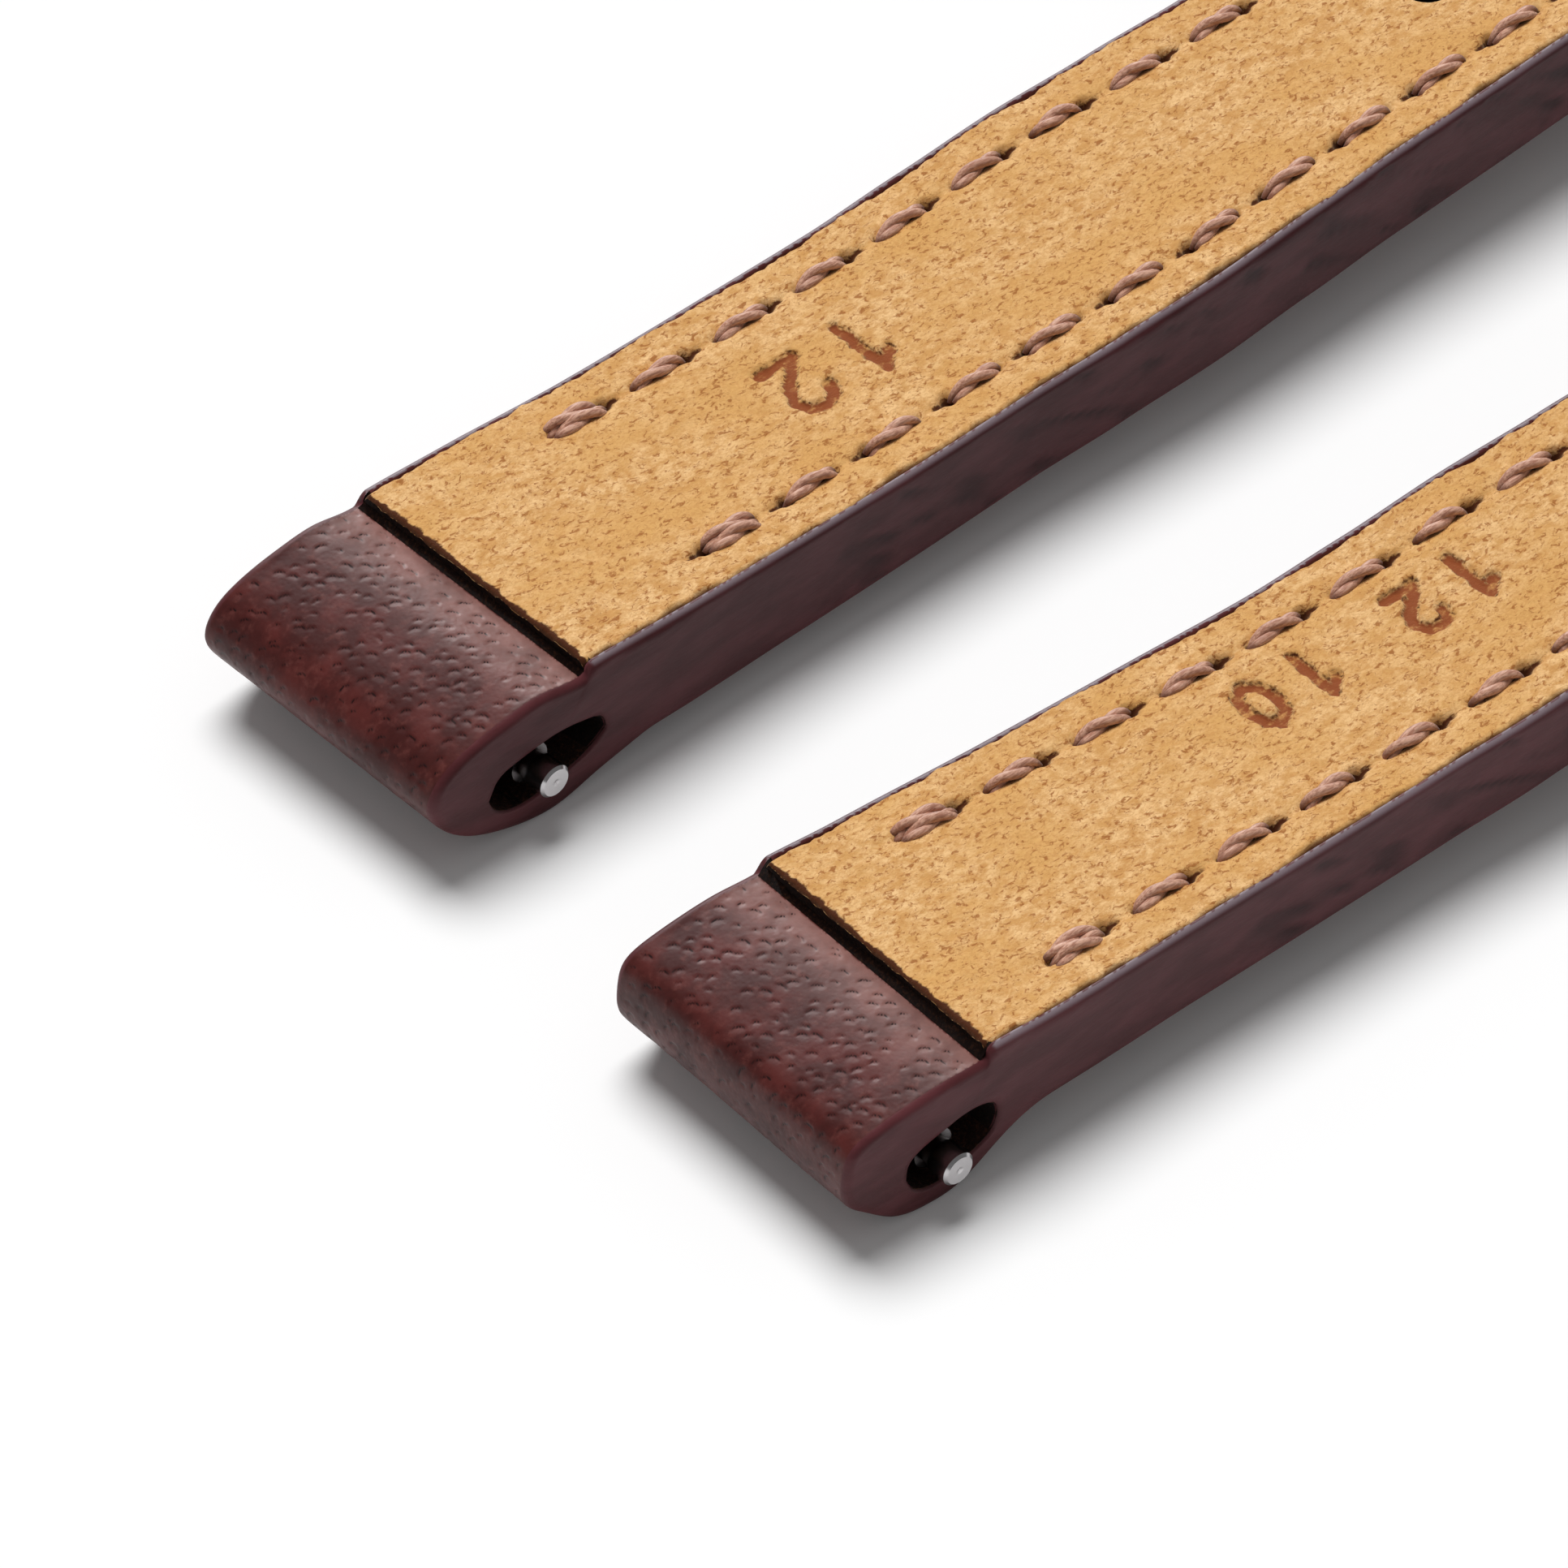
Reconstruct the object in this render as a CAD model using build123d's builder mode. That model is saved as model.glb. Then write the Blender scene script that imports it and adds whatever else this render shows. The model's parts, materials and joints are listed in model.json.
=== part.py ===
from build123d import *
from dataclasses import dataclass
from math import asin, atan2, cos, degrees, hypot, pi, radians, sin
import os

# A two-piece leather watch strap, laid out lining side up. The long half has the buckle holes, the
# short half the buckle and the keepers. Millimetres. +X runs from the lug ends to the far ends, +Y
# across from the short half to the long one, +Z up. The origin is on the table, under the middle of
# the pair.

# Widths, shared by both halves
lug_width = 12.0
lug_side_gap = 0.1
buckle_width = 10.0
strap_width = lug_width - 2 * lug_side_gap

# Long half, measured from its lug bar
long_length = 112.0
long_nose = 4.85
long_step = 2.25
long_neck = 5.4
long_loop_height = 5.45
long_loop_floor = 1.3
long_tunnel_front = 2.3
long_tunnel_rear = 3.05
long_tunnel_height = 2.26
long_neck_lift = 0.9
long_arch = 1.75
long_thickness = 4.75
long_tip_thickness = 2.5
long_taper_end = 84.0
long_belly = 0.62
long_tip_length = 5.6

# Short half, measured from its lug bar
short_length = 72.0
short_nose = 4.2
short_step = 2.0
short_neck = 5.0
short_loop_height = 5.15
short_loop_floor = 1.0
short_tunnel_front = 1.6
short_tunnel_rear = 2.35
short_tunnel_height = 2.42
short_neck_lift = 1.62
short_thickness = 4.1
short_end_thickness = 3.3
short_taper_end = 48.0
short_belly = 0.08

# How the pair lies on the table
pair_spacing = 22.1
pair_stagger = 1.46
pair_spread = 2.4

# Leather layers
face_leather = 1.2
lining_leather = 0.95
glue_line = 0.04
flap_length = 5.0
flap_edge = 0.3
liner_wall = 0.3
step_gap = 0.25

# Buckle holes in the long half
hole_radius = 0.95
hole_pitch = 6.5
hole_count = 7
last_hole_from_tip = 20.0

# Stitching
stitch_pitch = 3.85
stitch_inset = 2.0
stitch_start_long = 8.6
stitch_start_short = 5.6
thread_radius = 0.27
leg_gap = 0.15
double_stitch_gap = 0.05
stitch_slant = 5.0
stitch_bend_share = 0.9
groove_side_gap = 0.12
lining_groove_depth = 0.5
face_groove_depth = 0.58
stitch_end_gap = 6.4

# Sprung lug bars
lug_tube_radius = 0.9
lug_tip_radius = 0.64
lug_tip_reach = 0.85
lug_stem_radius = 0.47
lug_flange_radius = 0.8
lug_flange_length = 0.28
lug_flange_inset = 0.5
lug_neck_depth = 0.14
lug_neck_inset = 0.0
lug_bar_gap = 0.12

# Sprung buckle bar
buckle_tube_radius = 0.75
buckle_tip_radius = 0.5
buckle_tip_reach = 0.9
buckle_tube_end_gap = 0.2

# Values that both kinds of bar share
tube_wall = 0.13
running_gap = 0.045
mouth_length = 0.4
head_length = 0.5
spigot_length = 1.0
tip_chamfer = 0.1
centre_mark_radius = 0.15
centre_mark_depth = 0.05
tube_chamfer = 0.06
wire_radius = 0.08
spring_side_gap = 0.08
spring_end_gap = 0.03
spring_turns = 12

# Buckle
buckle_side_gap = 0.2
arm_width = 1.5
arm_boss_radius = 1.45
buckle_reach = 8.8
front_bar_radius = 1.1
arm_corner_radius = 1.6
frame_edge_radius = 0.35
tip_hole_gap = 0.05
fold_tunnel_gap = 0.12
tang_width = 1.5
tang_thickness = 0.8
tang_overhang = 0.7
tang_corner_share = 0.9
tang_ring_wall = 0.55
tang_seat_gap = 0.02
tang_slot_gap = 0.35
tang_slot_length = 4.4
fold_lining_gap = 5.6
tang_gap = 0.05

# Keepers
keeper_wall = 1.2
keeper_length = 4.5
keeper_side_gap = 0.25
keeper_top_gap = 0.05
keeper_slack = 0.2
keeper_corner = 1.5
keeper_inner_corner = 0.4
fixed_keeper_from_bar = 8.4
free_keeper_spacing = 6.2

# One overrun serves every cut
overrun = 2.0

# Outline of the lug loop, from the step over the nose and back under to the neck. The first share is
# of the nose in front of the bar and of the neck behind it, the second is of the loop's height.
long_loop_shares = (
    (0.05, 1.0), (-0.25, 0.985), (-0.66, 0.91), (-0.92, 0.775), (-1.0, 0.61), (-0.91, 0.42),
    (-0.68, 0.215), (-0.4, 0.09), (-0.1, 0.012), (0.18, -0.005), (0.48, 0.068), (0.78, 0.132),
)
short_loop_shares = (
    (0.04, 1.0), (-0.28, 0.99), (-0.64, 0.955), (-0.93, 0.86), (-1.0, 0.65), (-0.97, 0.44),
    (-0.76, 0.25), (-0.42, 0.04), (-0.1, -0.01), (0.16, 0.005), (0.44, 0.14), (0.72, 0.272),
)
long_step_share = 0.95
short_step_share = 0.985

# Outline of the tunnel for the lug bar. The first share is of the tunnel's reach in front of the bar
# or behind it, the second of its height over its floor.
long_tunnel_shares = (
    (-1.0, 0.48), (-0.8, 0.8), (-0.35, 0.95), (0.12, 1.0), (0.6, 0.94), (0.93, 0.74),
    (0.98, 0.52), (0.68, 0.26), (0.3, 0.1), (-0.1, 0.0), (-0.55, 0.02), (-0.87, 0.2),
)
short_tunnel_shares = (
    (-1.0, 0.42), (-0.93, 0.68), (-0.6, 0.85), (-0.2, 0.93), (0.3, 1.0), (0.66, 0.98), (0.93, 0.85),
    (1.0, 0.6), (0.88, 0.35), (0.55, 0.18), (0.15, 0.04), (-0.25, 0.0), (-0.75, 0.12),
)

# Lie of each half. The first share is of the way from the neck to the far end. The second is of the
# arch over the table, or of the lift from the neck to the keepers, or of the neck's lift, counted down.
long_arch_shares = (
    (0.0, 0.0), (0.08, 0.05), (0.2, 0.3), (0.36, 0.7), (0.52, 1.0), (0.68, 0.72), (0.82, 0.12), (0.92, 0.0),
)
long_drop_shares = ((0.6, 0.0), (0.76, 0.35), (0.9, 0.97), (0.94, 1.0))
short_lift_shares = (
    (0.0, 0.0), (0.2, 0.0), (0.35, 0.07), (0.55, 0.55), (0.68, 0.97), (0.72, 1.0),
)

# Thickness of each half. The first share is of the way from the neck to the far end, the second runs
# from the far end's thickness at 0 to the lug end's thickness at 1.
long_thickness_shares = (
    (-0.03, 1.0), (0.0, 0.95), (0.07, 0.8), (0.17, 0.68), (0.27, 0.66), (0.45, 0.6), (0.7, 0.2), (0.85, 0.0),
)
short_thickness_shares = ((-0.05, 0.85), (0.0, 0.65), (0.12, 0.48), (0.32, 0.3), (0.5, 0.2), (0.7, 0.0))

# How many points draw a long edge, and how many steps measure a row of stitches
stations = 15
row_steps = 60


def smooth(table, share):
    """Value on a smooth line through a table of shares."""
    knots = [knot for knot, value in table]
    values = [value for knot, value in table]
    last = len(table) - 1
    share = min(max(share, knots[0]), knots[last])
    slopes = [0.0] * len(table)
    for i in range(1, last):
        slopes[i] = (values[i + 1] - values[i - 1]) / (knots[i + 1] - knots[i - 1])
    i = max(k for k in range(last) if knots[k] <= share)
    span = knots[i + 1] - knots[i]
    u = (share - knots[i]) / span
    start = (1 + 2 * u) * (1 - u) ** 2 * values[i] + u * (1 - u) ** 2 * span * slopes[i]
    return start + u * u * (3 - 2 * u) * values[i + 1] + u * u * (u - 1) * span * slopes[i + 1]


@dataclass(frozen=True)
class Half:
    """One half of the strap. x runs from its lug bar to its far end, z up from the table."""

    name: str
    x: float
    y: float
    turn: float
    nose: float
    step: float
    neck: float
    loop_height: float
    loop_floor: float
    tunnel_front: float
    tunnel_rear: float
    tunnel_height: float
    neck_lift: float
    lift: float
    thickness: float
    end_thickness: float
    end: float
    taper_end: float
    belly: float
    stitch_start: float
    stitch_end: float
    lining_end: float
    filler_end: float
    loop_shares: tuple
    step_share: float
    tunnel_shares: tuple
    lift_shares: tuple
    thickness_shares: tuple
    drop_shares: tuple

    @property
    def bar_height(self):
        return self.loop_floor + lug_bar_gap + lug_tube_radius

    @property
    def wedge(self):
        """Where the flap, the face leather and the filler meet behind the tunnel."""
        return self.tunnel_rear + liner_wall + glue_line + face_leather

    @property
    def flap_end(self):
        return self.step + flap_length

    def along(self):
        return Vector(cos(radians(self.turn)), sin(radians(self.turn)), 0)

    def across(self):
        return Vector(-sin(radians(self.turn)), cos(radians(self.turn)), 0)

    def point(self, x, y, z):
        return Vector(self.x, self.y, z) + self.along() * x + self.across() * y

    def side(self):
        """Plane of the half's side view: x along it, y up."""
        return Plane(origin=self.point(0, 0, 0), x_dir=self.along(), z_dir=-self.across())

    def plan(self):
        """Plane of the half's plan: x along it, y across."""
        return Plane(origin=self.point(0, 0, 0), x_dir=self.along(), z_dir=(0, 0, 1))

    def bar_plane(self):
        """Plane through the lug bar: x along the bar, y up."""
        return Plane(origin=self.point(0, 0, self.bar_height), x_dir=self.across(), z_dir=self.along())

    def share(self, x):
        return (x - self.neck) / (self.end - self.neck)

    def under(self, x):
        """Height of the face leather's outside."""
        drop = smooth(self.drop_shares, self.share(x)) if self.drop_shares else 0.0
        return self.neck_lift * (1 - drop) + self.lift * smooth(self.lift_shares, self.share(x))

    def thick(self, x):
        spare = self.thickness - self.end_thickness
        return self.end_thickness + spare * smooth(self.thickness_shares, self.share(x))

    def top(self, x):
        """Height of the lining's outside."""
        return self.under(x) + self.thick(x)

    def lining_bottom(self, x):
        return self.top(x) - lining_leather

    def lining_seat(self, x):
        """Height of what the lining is glued to."""
        return self.lining_bottom(x) - glue_line

    def face_inside(self, x):
        return self.under(x) + face_leather

    def face_seat(self, x):
        """Height of what the face leather is glued to."""
        return self.face_inside(x) + glue_line

    def half_width(self, x):
        """Half the width of the half, which tapers with a slight belly."""
        u = min(max(x, 0.0) / self.taper_end, 1.0)
        return (strap_width + (buckle_width - strap_width) * u) / 2 + self.belly * 4 * u * (1 - u) / 2

    def line(self, height, start, end):
        """Points of a long edge in the side view, evenly spaced."""
        places = [start + (end - start) * i / (stations - 1) for i in range(stations)]
        return [(x, height(x)) for x in places]


long_end = long_length - long_nose
fold_radius = short_end_thickness / 2
short_end = short_length - short_nose - fold_radius
keeper_height = short_end_thickness + long_tip_thickness + keeper_slack
keeper_lift = keeper_wall + keeper_height - keeper_top_gap - short_end_thickness
fold_height = keeper_lift + fold_radius
working_height = keeper_lift + keeper_height + long_loop_height

# The buckle hangs from its bar until the tang lies on the table
tang_low = front_bar_radius + tang_seat_gap + tang_thickness
tang_end = buckle_reach + front_bar_radius + tang_overhang
buckle_tilt = degrees(asin(fold_height / hypot(tang_end, tang_low)) - atan2(tang_low, tang_end))
window_half_width = buckle_width / 2 + buckle_side_gap
frame_half_width = window_half_width + arm_width
frame_front = short_end + (buckle_reach + front_bar_radius) * cos(radians(buckle_tilt))

# Middle of the pair's outline, seen from the long half's lug bar
half_spread = radians(pair_spread / 2)
lug_corner = strap_width / 2 * sin(half_spread)
pair_start = -pair_stagger - short_nose * cos(half_spread) - lug_corner
pair_middle_x = (long_end * cos(half_spread) + pair_start) / 2
tip_side = (long_end - long_tip_length) * sin(half_spread) + buckle_width / 2 * cos(half_spread)
far_side = max(tip_side, strap_width / 2 + lug_tip_reach)
near_side = pair_spacing + (frame_front - arm_corner_radius) * sin(half_spread) + frame_half_width
pair_middle_y = (far_side - near_side) / 2

long_half = Half(
    name="long",
    x=-pair_middle_x,
    y=-pair_middle_y,
    turn=pair_spread / 2,
    nose=long_nose,
    step=long_step,
    neck=long_neck,
    loop_height=long_loop_height,
    loop_floor=long_loop_floor,
    tunnel_front=long_tunnel_front,
    tunnel_rear=long_tunnel_rear,
    tunnel_height=long_tunnel_height,
    neck_lift=long_neck_lift,
    lift=long_arch,
    thickness=long_thickness,
    end_thickness=long_tip_thickness,
    end=long_end,
    taper_end=long_taper_end,
    belly=long_belly,
    stitch_start=stitch_start_long,
    stitch_end=long_end - long_tip_length,
    lining_end=long_end,
    filler_end=long_end,
    loop_shares=long_loop_shares,
    step_share=long_step_share,
    tunnel_shares=long_tunnel_shares,
    lift_shares=long_arch_shares,
    thickness_shares=long_thickness_shares,
    drop_shares=long_drop_shares,
)
short_half = Half(
    name="short",
    x=-pair_middle_x - pair_stagger,
    y=-pair_middle_y - pair_spacing,
    turn=-pair_spread / 2,
    nose=short_nose,
    step=short_step,
    neck=short_neck,
    loop_height=short_loop_height,
    loop_floor=short_loop_floor,
    tunnel_front=short_tunnel_front,
    tunnel_rear=short_tunnel_rear,
    tunnel_height=short_tunnel_height,
    neck_lift=short_neck_lift,
    lift=keeper_lift - short_neck_lift,
    thickness=short_thickness,
    end_thickness=short_end_thickness,
    end=short_end,
    taper_end=short_taper_end,
    belly=short_belly,
    stitch_start=stitch_start_short,
    stitch_end=short_end - stitch_end_gap,
    lining_end=short_end - fold_lining_gap,
    filler_end=short_end - fold_radius - glue_line,
    loop_shares=short_loop_shares,
    step_share=short_step_share,
    tunnel_shares=short_tunnel_shares,
    lift_shares=short_lift_shares,
    thickness_shares=short_thickness_shares,
    drop_shares=(),
)


def finish(piece, name):
    """Label a finished piece and write it."""
    piece.part.label = name
    export_step(piece.part, f"parts/{name}.step")


def layer(half, low, high, start, end):
    """Side view of a layer between two heights."""
    lower = half.line(low, start, end)
    upper = half.line(high, start, end)
    with BuildSketch(half.side()) as band:
        with BuildLine():
            Spline(*lower)
            Line(lower[-1], upper[-1])
            Spline(*upper)
            Line(upper[0], lower[0])
        make_face()
    return band.sketch


def plan_outline(half, inset=0.0):
    """Plan of a half: straight lug end, tapering sides, and a rounded tip or a square end."""
    start = -half.nose - overrun
    taper = half.taper_end
    wide = half.half_width(0) - inset
    middle = half.half_width(taper / 2) - inset
    narrow = half.half_width(taper) - inset
    shoulder = half.end - long_tip_length if half is long_half else half.end + fold_radius + overrun
    with BuildSketch(half.plan()) as outline:
        with BuildLine():
            Line((start, -wide), (start, wide))
            for side in (1, -1):
                Line((start, wide * side), (0, wide * side))
                ThreePointArc((0, wide * side), (taper / 2, middle * side), (taper, narrow * side))
                Line((taper, narrow * side), (shoulder, narrow * side))
            if half is long_half:
                EllipticalCenterArc(
                    (shoulder, 0), long_tip_length - inset, narrow, start_angle=-90, arc_size=180
                )
            else:
                Line((shoulder, -narrow), (shoulder, narrow))
        make_face()
    return outline.sketch


def trim_to_plan(half, inset=0.0):
    """Keep only what lies inside the plan of the half, above the table."""
    extrude(plan_outline(half, inset), amount=working_height, mode=Mode.INTERSECT)


def tunnel_points(half, growth):
    """Outline of the tunnel for the lug bar, from the front over the top, grown by a wall."""
    points = []
    for along_share, up_share in half.tunnel_shares:
        reach = half.tunnel_front if along_share < 0 else half.tunnel_rear
        points.append((along_share * reach, half.loop_floor + up_share * half.tunnel_height))
    grown = []
    for i, (x, z) in enumerate(points):
        before = points[i - 1]
        after = points[(i + 1) % len(points)]
        run = hypot(after[0] - before[0], after[1] - before[1])
        outward = ((before[1] - after[1]) / run, (after[0] - before[0]) / run)
        grown.append((x + outward[0] * growth, z + outward[1] * growth))
    return grown


def tunnel_outline(half, growth=0.0):
    """Cross-section of the tunnel for the lug bar, grown by a wall."""
    points = tunnel_points(half, growth)
    rear = points.index(max(points))
    with BuildSketch(half.side()) as tunnel:
        with BuildLine():
            Spline(*points[:rear + 1])
            Spline(*points[rear:], points[0])
        make_face()
    return tunnel.sketch


def fold_outline(radius):
    """Round cross-section about the buckle bar."""
    with BuildSketch(short_half.side()) as fold:
        with Locations((short_end, fold_height)):
            Circle(radius)
    return fold.sketch


def loop_points(half):
    """Outline of the lug loop, from the step to the neck."""
    points = [(half.step - step_gap, half.step_share * half.loop_height)]
    for along_share, up_share in half.loop_shares:
        reach = half.nose if along_share < 0 else half.neck
        points.append((along_share * reach, up_share * half.loop_height))
    points.append((half.neck, half.under(half.neck)))
    return points


def full_width(sketch, mode=Mode.ADD):
    """Extrude a side view through the whole width."""
    extrude(sketch, amount=lug_width, both=True, mode=mode)


def groove(half, low, high):
    """Strip along the stitches between two heights, to cut from a layer."""
    spread = thread_radius + groove_side_gap
    end = half.end if half is long_half else half.stitch_end
    with BuildPart() as strip:
        full_width(layer(half, low, high, half.stitch_start, end))
        trim_to_plan(half, stitch_inset - spread)
        inner = plan_outline(half, stitch_inset + spread)
        extrude(inner, amount=working_height, both=True, mode=Mode.SUBTRACT)
    return strip.part


def punch_buckle_holes(half):
    """Row of round holes for the tang, in the long half only."""
    last = half.end - last_hole_from_tip
    with BuildSketch(half.plan()) as row:
        with Locations(*[(last - hole_pitch * i, 0) for i in range(hole_count)]):
            Circle(hole_radius)
    extrude(row.sketch, amount=working_height, mode=Mode.SUBTRACT)


def cut_tang_slot(half):
    """Slot in the fold of the short half, for the tang's ring."""
    with BuildSketch(half.plan()) as slot:
        with Locations((half.end, 0)):
            Rectangle(2 * (tang_slot_length - fold_radius), tang_width + 2 * tang_slot_gap)
        with Locations((half.end + fold_radius, 0)):
            Rectangle(2 * fold_radius, tang_width + 2 * tang_slot_gap)
    extrude(slot.sketch, amount=working_height, mode=Mode.SUBTRACT)


def leather_outline(half):
    """Side view of the face leather: round the lug bar, along below and back as a flap."""
    loop = loop_points(half)
    flap_start = (half.step, half.lining_seat(half.step))
    flap_tip = (half.flap_end, half.lining_seat(half.flap_end))
    flap_under = (half.flap_end, flap_tip[1] - flap_edge)
    meeting = (half.wedge, half.face_inside(half.wedge))
    below = half.line(half.under, half.neck, half.end)
    inside = half.line(half.face_inside, half.wedge, half.end)
    with BuildSketch(half.side()) as outline:
        with BuildLine():
            Line(flap_tip, flap_start)
            Line(flap_start, loop[0])
            Spline(*loop, tangents=[(-1, 0), (1, 0)])
            Spline(*below, tangents=[(1, 0), (1, 0)])
            Line(below[-1], inside[-1])
            Spline(*inside)
            Line(meeting, flap_under)
            Line(flap_under, flap_tip)
        make_face()
    return outline.sketch


def make_face_leather(half):
    """Outer leather: under the strap, round the lug bar and back beneath the lining."""
    with BuildPart() as leather:
        full_width(leather_outline(half))
        if half is short_half:
            full_width(fold_outline(fold_radius))
            start = half.lining_end + step_gap
            full_width(layer(half, half.lining_bottom, half.top, start, half.end))
        trim_to_plan(half)
        full_width(tunnel_outline(half, liner_wall + glue_line), Mode.SUBTRACT)
        low = lambda x: half.under(x) - overrun
        high = lambda x: half.under(x) + face_groove_depth
        add(groove(half, low, high), mode=Mode.SUBTRACT)
        if half is long_half:
            punch_buckle_holes(half)
        else:
            full_width(fold_outline(buckle_tube_radius + fold_tunnel_gap), Mode.SUBTRACT)
            cut_tang_slot(half)
    finish(leather, f"{half.name}_face_leather")


def make_lining(half):
    """Suede lining, from the step to the tip or to the buckle's fold."""
    with BuildPart() as lining:
        full_width(layer(half, half.lining_bottom, half.top, half.step, half.lining_end))
        trim_to_plan(half)
        low = lambda x: half.top(x) - lining_groove_depth
        high = lambda x: half.top(x) + overrun
        add(groove(half, low, high), mode=Mode.SUBTRACT)
        if half is long_half:
            punch_buckle_holes(half)
    finish(lining, f"{half.name}_lining")


def make_filler(half):
    """Padding between the face leather and the lining, with a front that fits under the flap."""
    front = half.wedge + 3 * glue_line
    shoulder = half.flap_end + 2 * glue_line
    below = half.line(half.face_seat, front, half.filler_end)
    above = half.line(half.lining_seat, shoulder, half.filler_end)
    notch = (shoulder, half.lining_seat(shoulder) - flap_edge)
    with BuildSketch(half.side()) as outline:
        with BuildLine():
            Spline(*below)
            Line(below[-1], above[-1])
            Spline(*above)
            Line(above[0], notch)
            Line(notch, below[0])
        make_face()
    with BuildPart() as filler:
        full_width(outline.sketch)
        trim_to_plan(half)
        if half is long_half:
            punch_buckle_holes(half)
        else:
            cut_tang_slot(half)
    finish(filler, f"{half.name}_filler")


def make_loop_liner(half):
    """Thin stiff sleeve round the tunnel, which keeps the loop open."""
    with BuildPart() as liner:
        full_width(tunnel_outline(half, liner_wall))
        full_width(tunnel_outline(half), Mode.SUBTRACT)
        trim_to_plan(half)
    finish(liner, f"{half.name}_loop_liner")


def side_row(half, side):
    """Points along the stitches on one side of a half."""
    run = half.stitch_end - half.stitch_start
    places = [half.stitch_start + run * i / row_steps for i in range(row_steps + 1)]
    return [(x, side * (half.half_width(x) - stitch_inset)) for x in places]


def tip_row(half):
    """Points along the stitches round the tip."""
    reach = long_tip_length - stitch_inset
    narrow = half.half_width(half.end) - stitch_inset
    turns = [pi / 2 - pi * i / row_steps for i in range(1, row_steps)]
    return [(half.stitch_end + reach * cos(turn), narrow * sin(turn)) for turn in turns]


def stitch_ends(row):
    """Needle holes along a row, evenly spaced."""
    travelled = [0.0]
    for before, after in zip(row, row[1:]):
        travelled.append(travelled[-1] + hypot(after[0] - before[0], after[1] - before[1]))
    count = max(round(travelled[-1] / stitch_pitch), 1)
    holes = []
    for i in range(count + 1):
        distance = travelled[-1] * i / count
        k = max(j for j in range(len(row) - 1) if travelled[j] <= distance or j == 0)
        u = (distance - travelled[k]) / (travelled[k + 1] - travelled[k])
        holes.append(tuple(a + (b - a) * u for a, b in zip(row[k], row[k + 1])))
    return holes


def stitch(half, start, end, shift):
    """One closed loop of thread through all the layers, in the part being built."""
    heading = atan2(end[1] - start[1], end[0] - start[0]) + radians(stitch_slant)
    middle_x = (start[0] + end[0]) / 2 - shift * sin(heading)
    middle_y = (start[1] + end[1]) / 2 + shift * cos(heading)
    reach = hypot(end[0] - start[0], end[1] - start[1]) / 2 - thread_radius - leg_gap / 2
    near = middle_x - reach * cos(heading)
    far = middle_x + reach * cos(heading)
    sunk = lining_groove_depth - thread_radius
    raised = face_groove_depth - thread_radius
    corners = (
        (-reach, half.under(near) + raised),
        (reach, half.under(far) + raised),
        (reach, half.top(far) - sunk),
        (-reach, half.top(near) - sunk),
    )
    direction = half.along() * cos(heading) + half.across() * sin(heading)
    normal = half.along() * sin(heading) - half.across() * cos(heading)
    plane = Plane(origin=half.point(middle_x, middle_y, 0), x_dir=direction, z_dir=normal)
    bend = thread_radius * (1 + stitch_bend_share)
    with BuildLine(plane) as route:
        FilletPolyline(*corners, radius=bend, close=True)
    with BuildSketch(Plane(origin=route.line @ 0, z_dir=route.line % 0)) as section:
        Circle(thread_radius)
    sweep(section.sketch, path=route.line)


def make_stitching(half):
    """All the stitches of a half. The first of each row is doubled."""
    if half is long_half:
        rows = [side_row(half, 1) + tip_row(half) + side_row(half, -1)[::-1]]
    else:
        rows = [side_row(half, 1), side_row(half, -1)]
    with BuildPart() as thread:
        for row in rows:
            holes = stitch_ends(row)
            doubled = (0, len(holes) - 2) if half is long_half else (0,)
            for i, (start, end) in enumerate(zip(holes, holes[1:])):
                apart = thread_radius + double_stitch_gap / 2
                for shift in (-apart, apart) if i in doubled else (0.0,):
                    stitch(half, start, end, shift)
    finish(thread, f"{half.name}_stitching")


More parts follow.
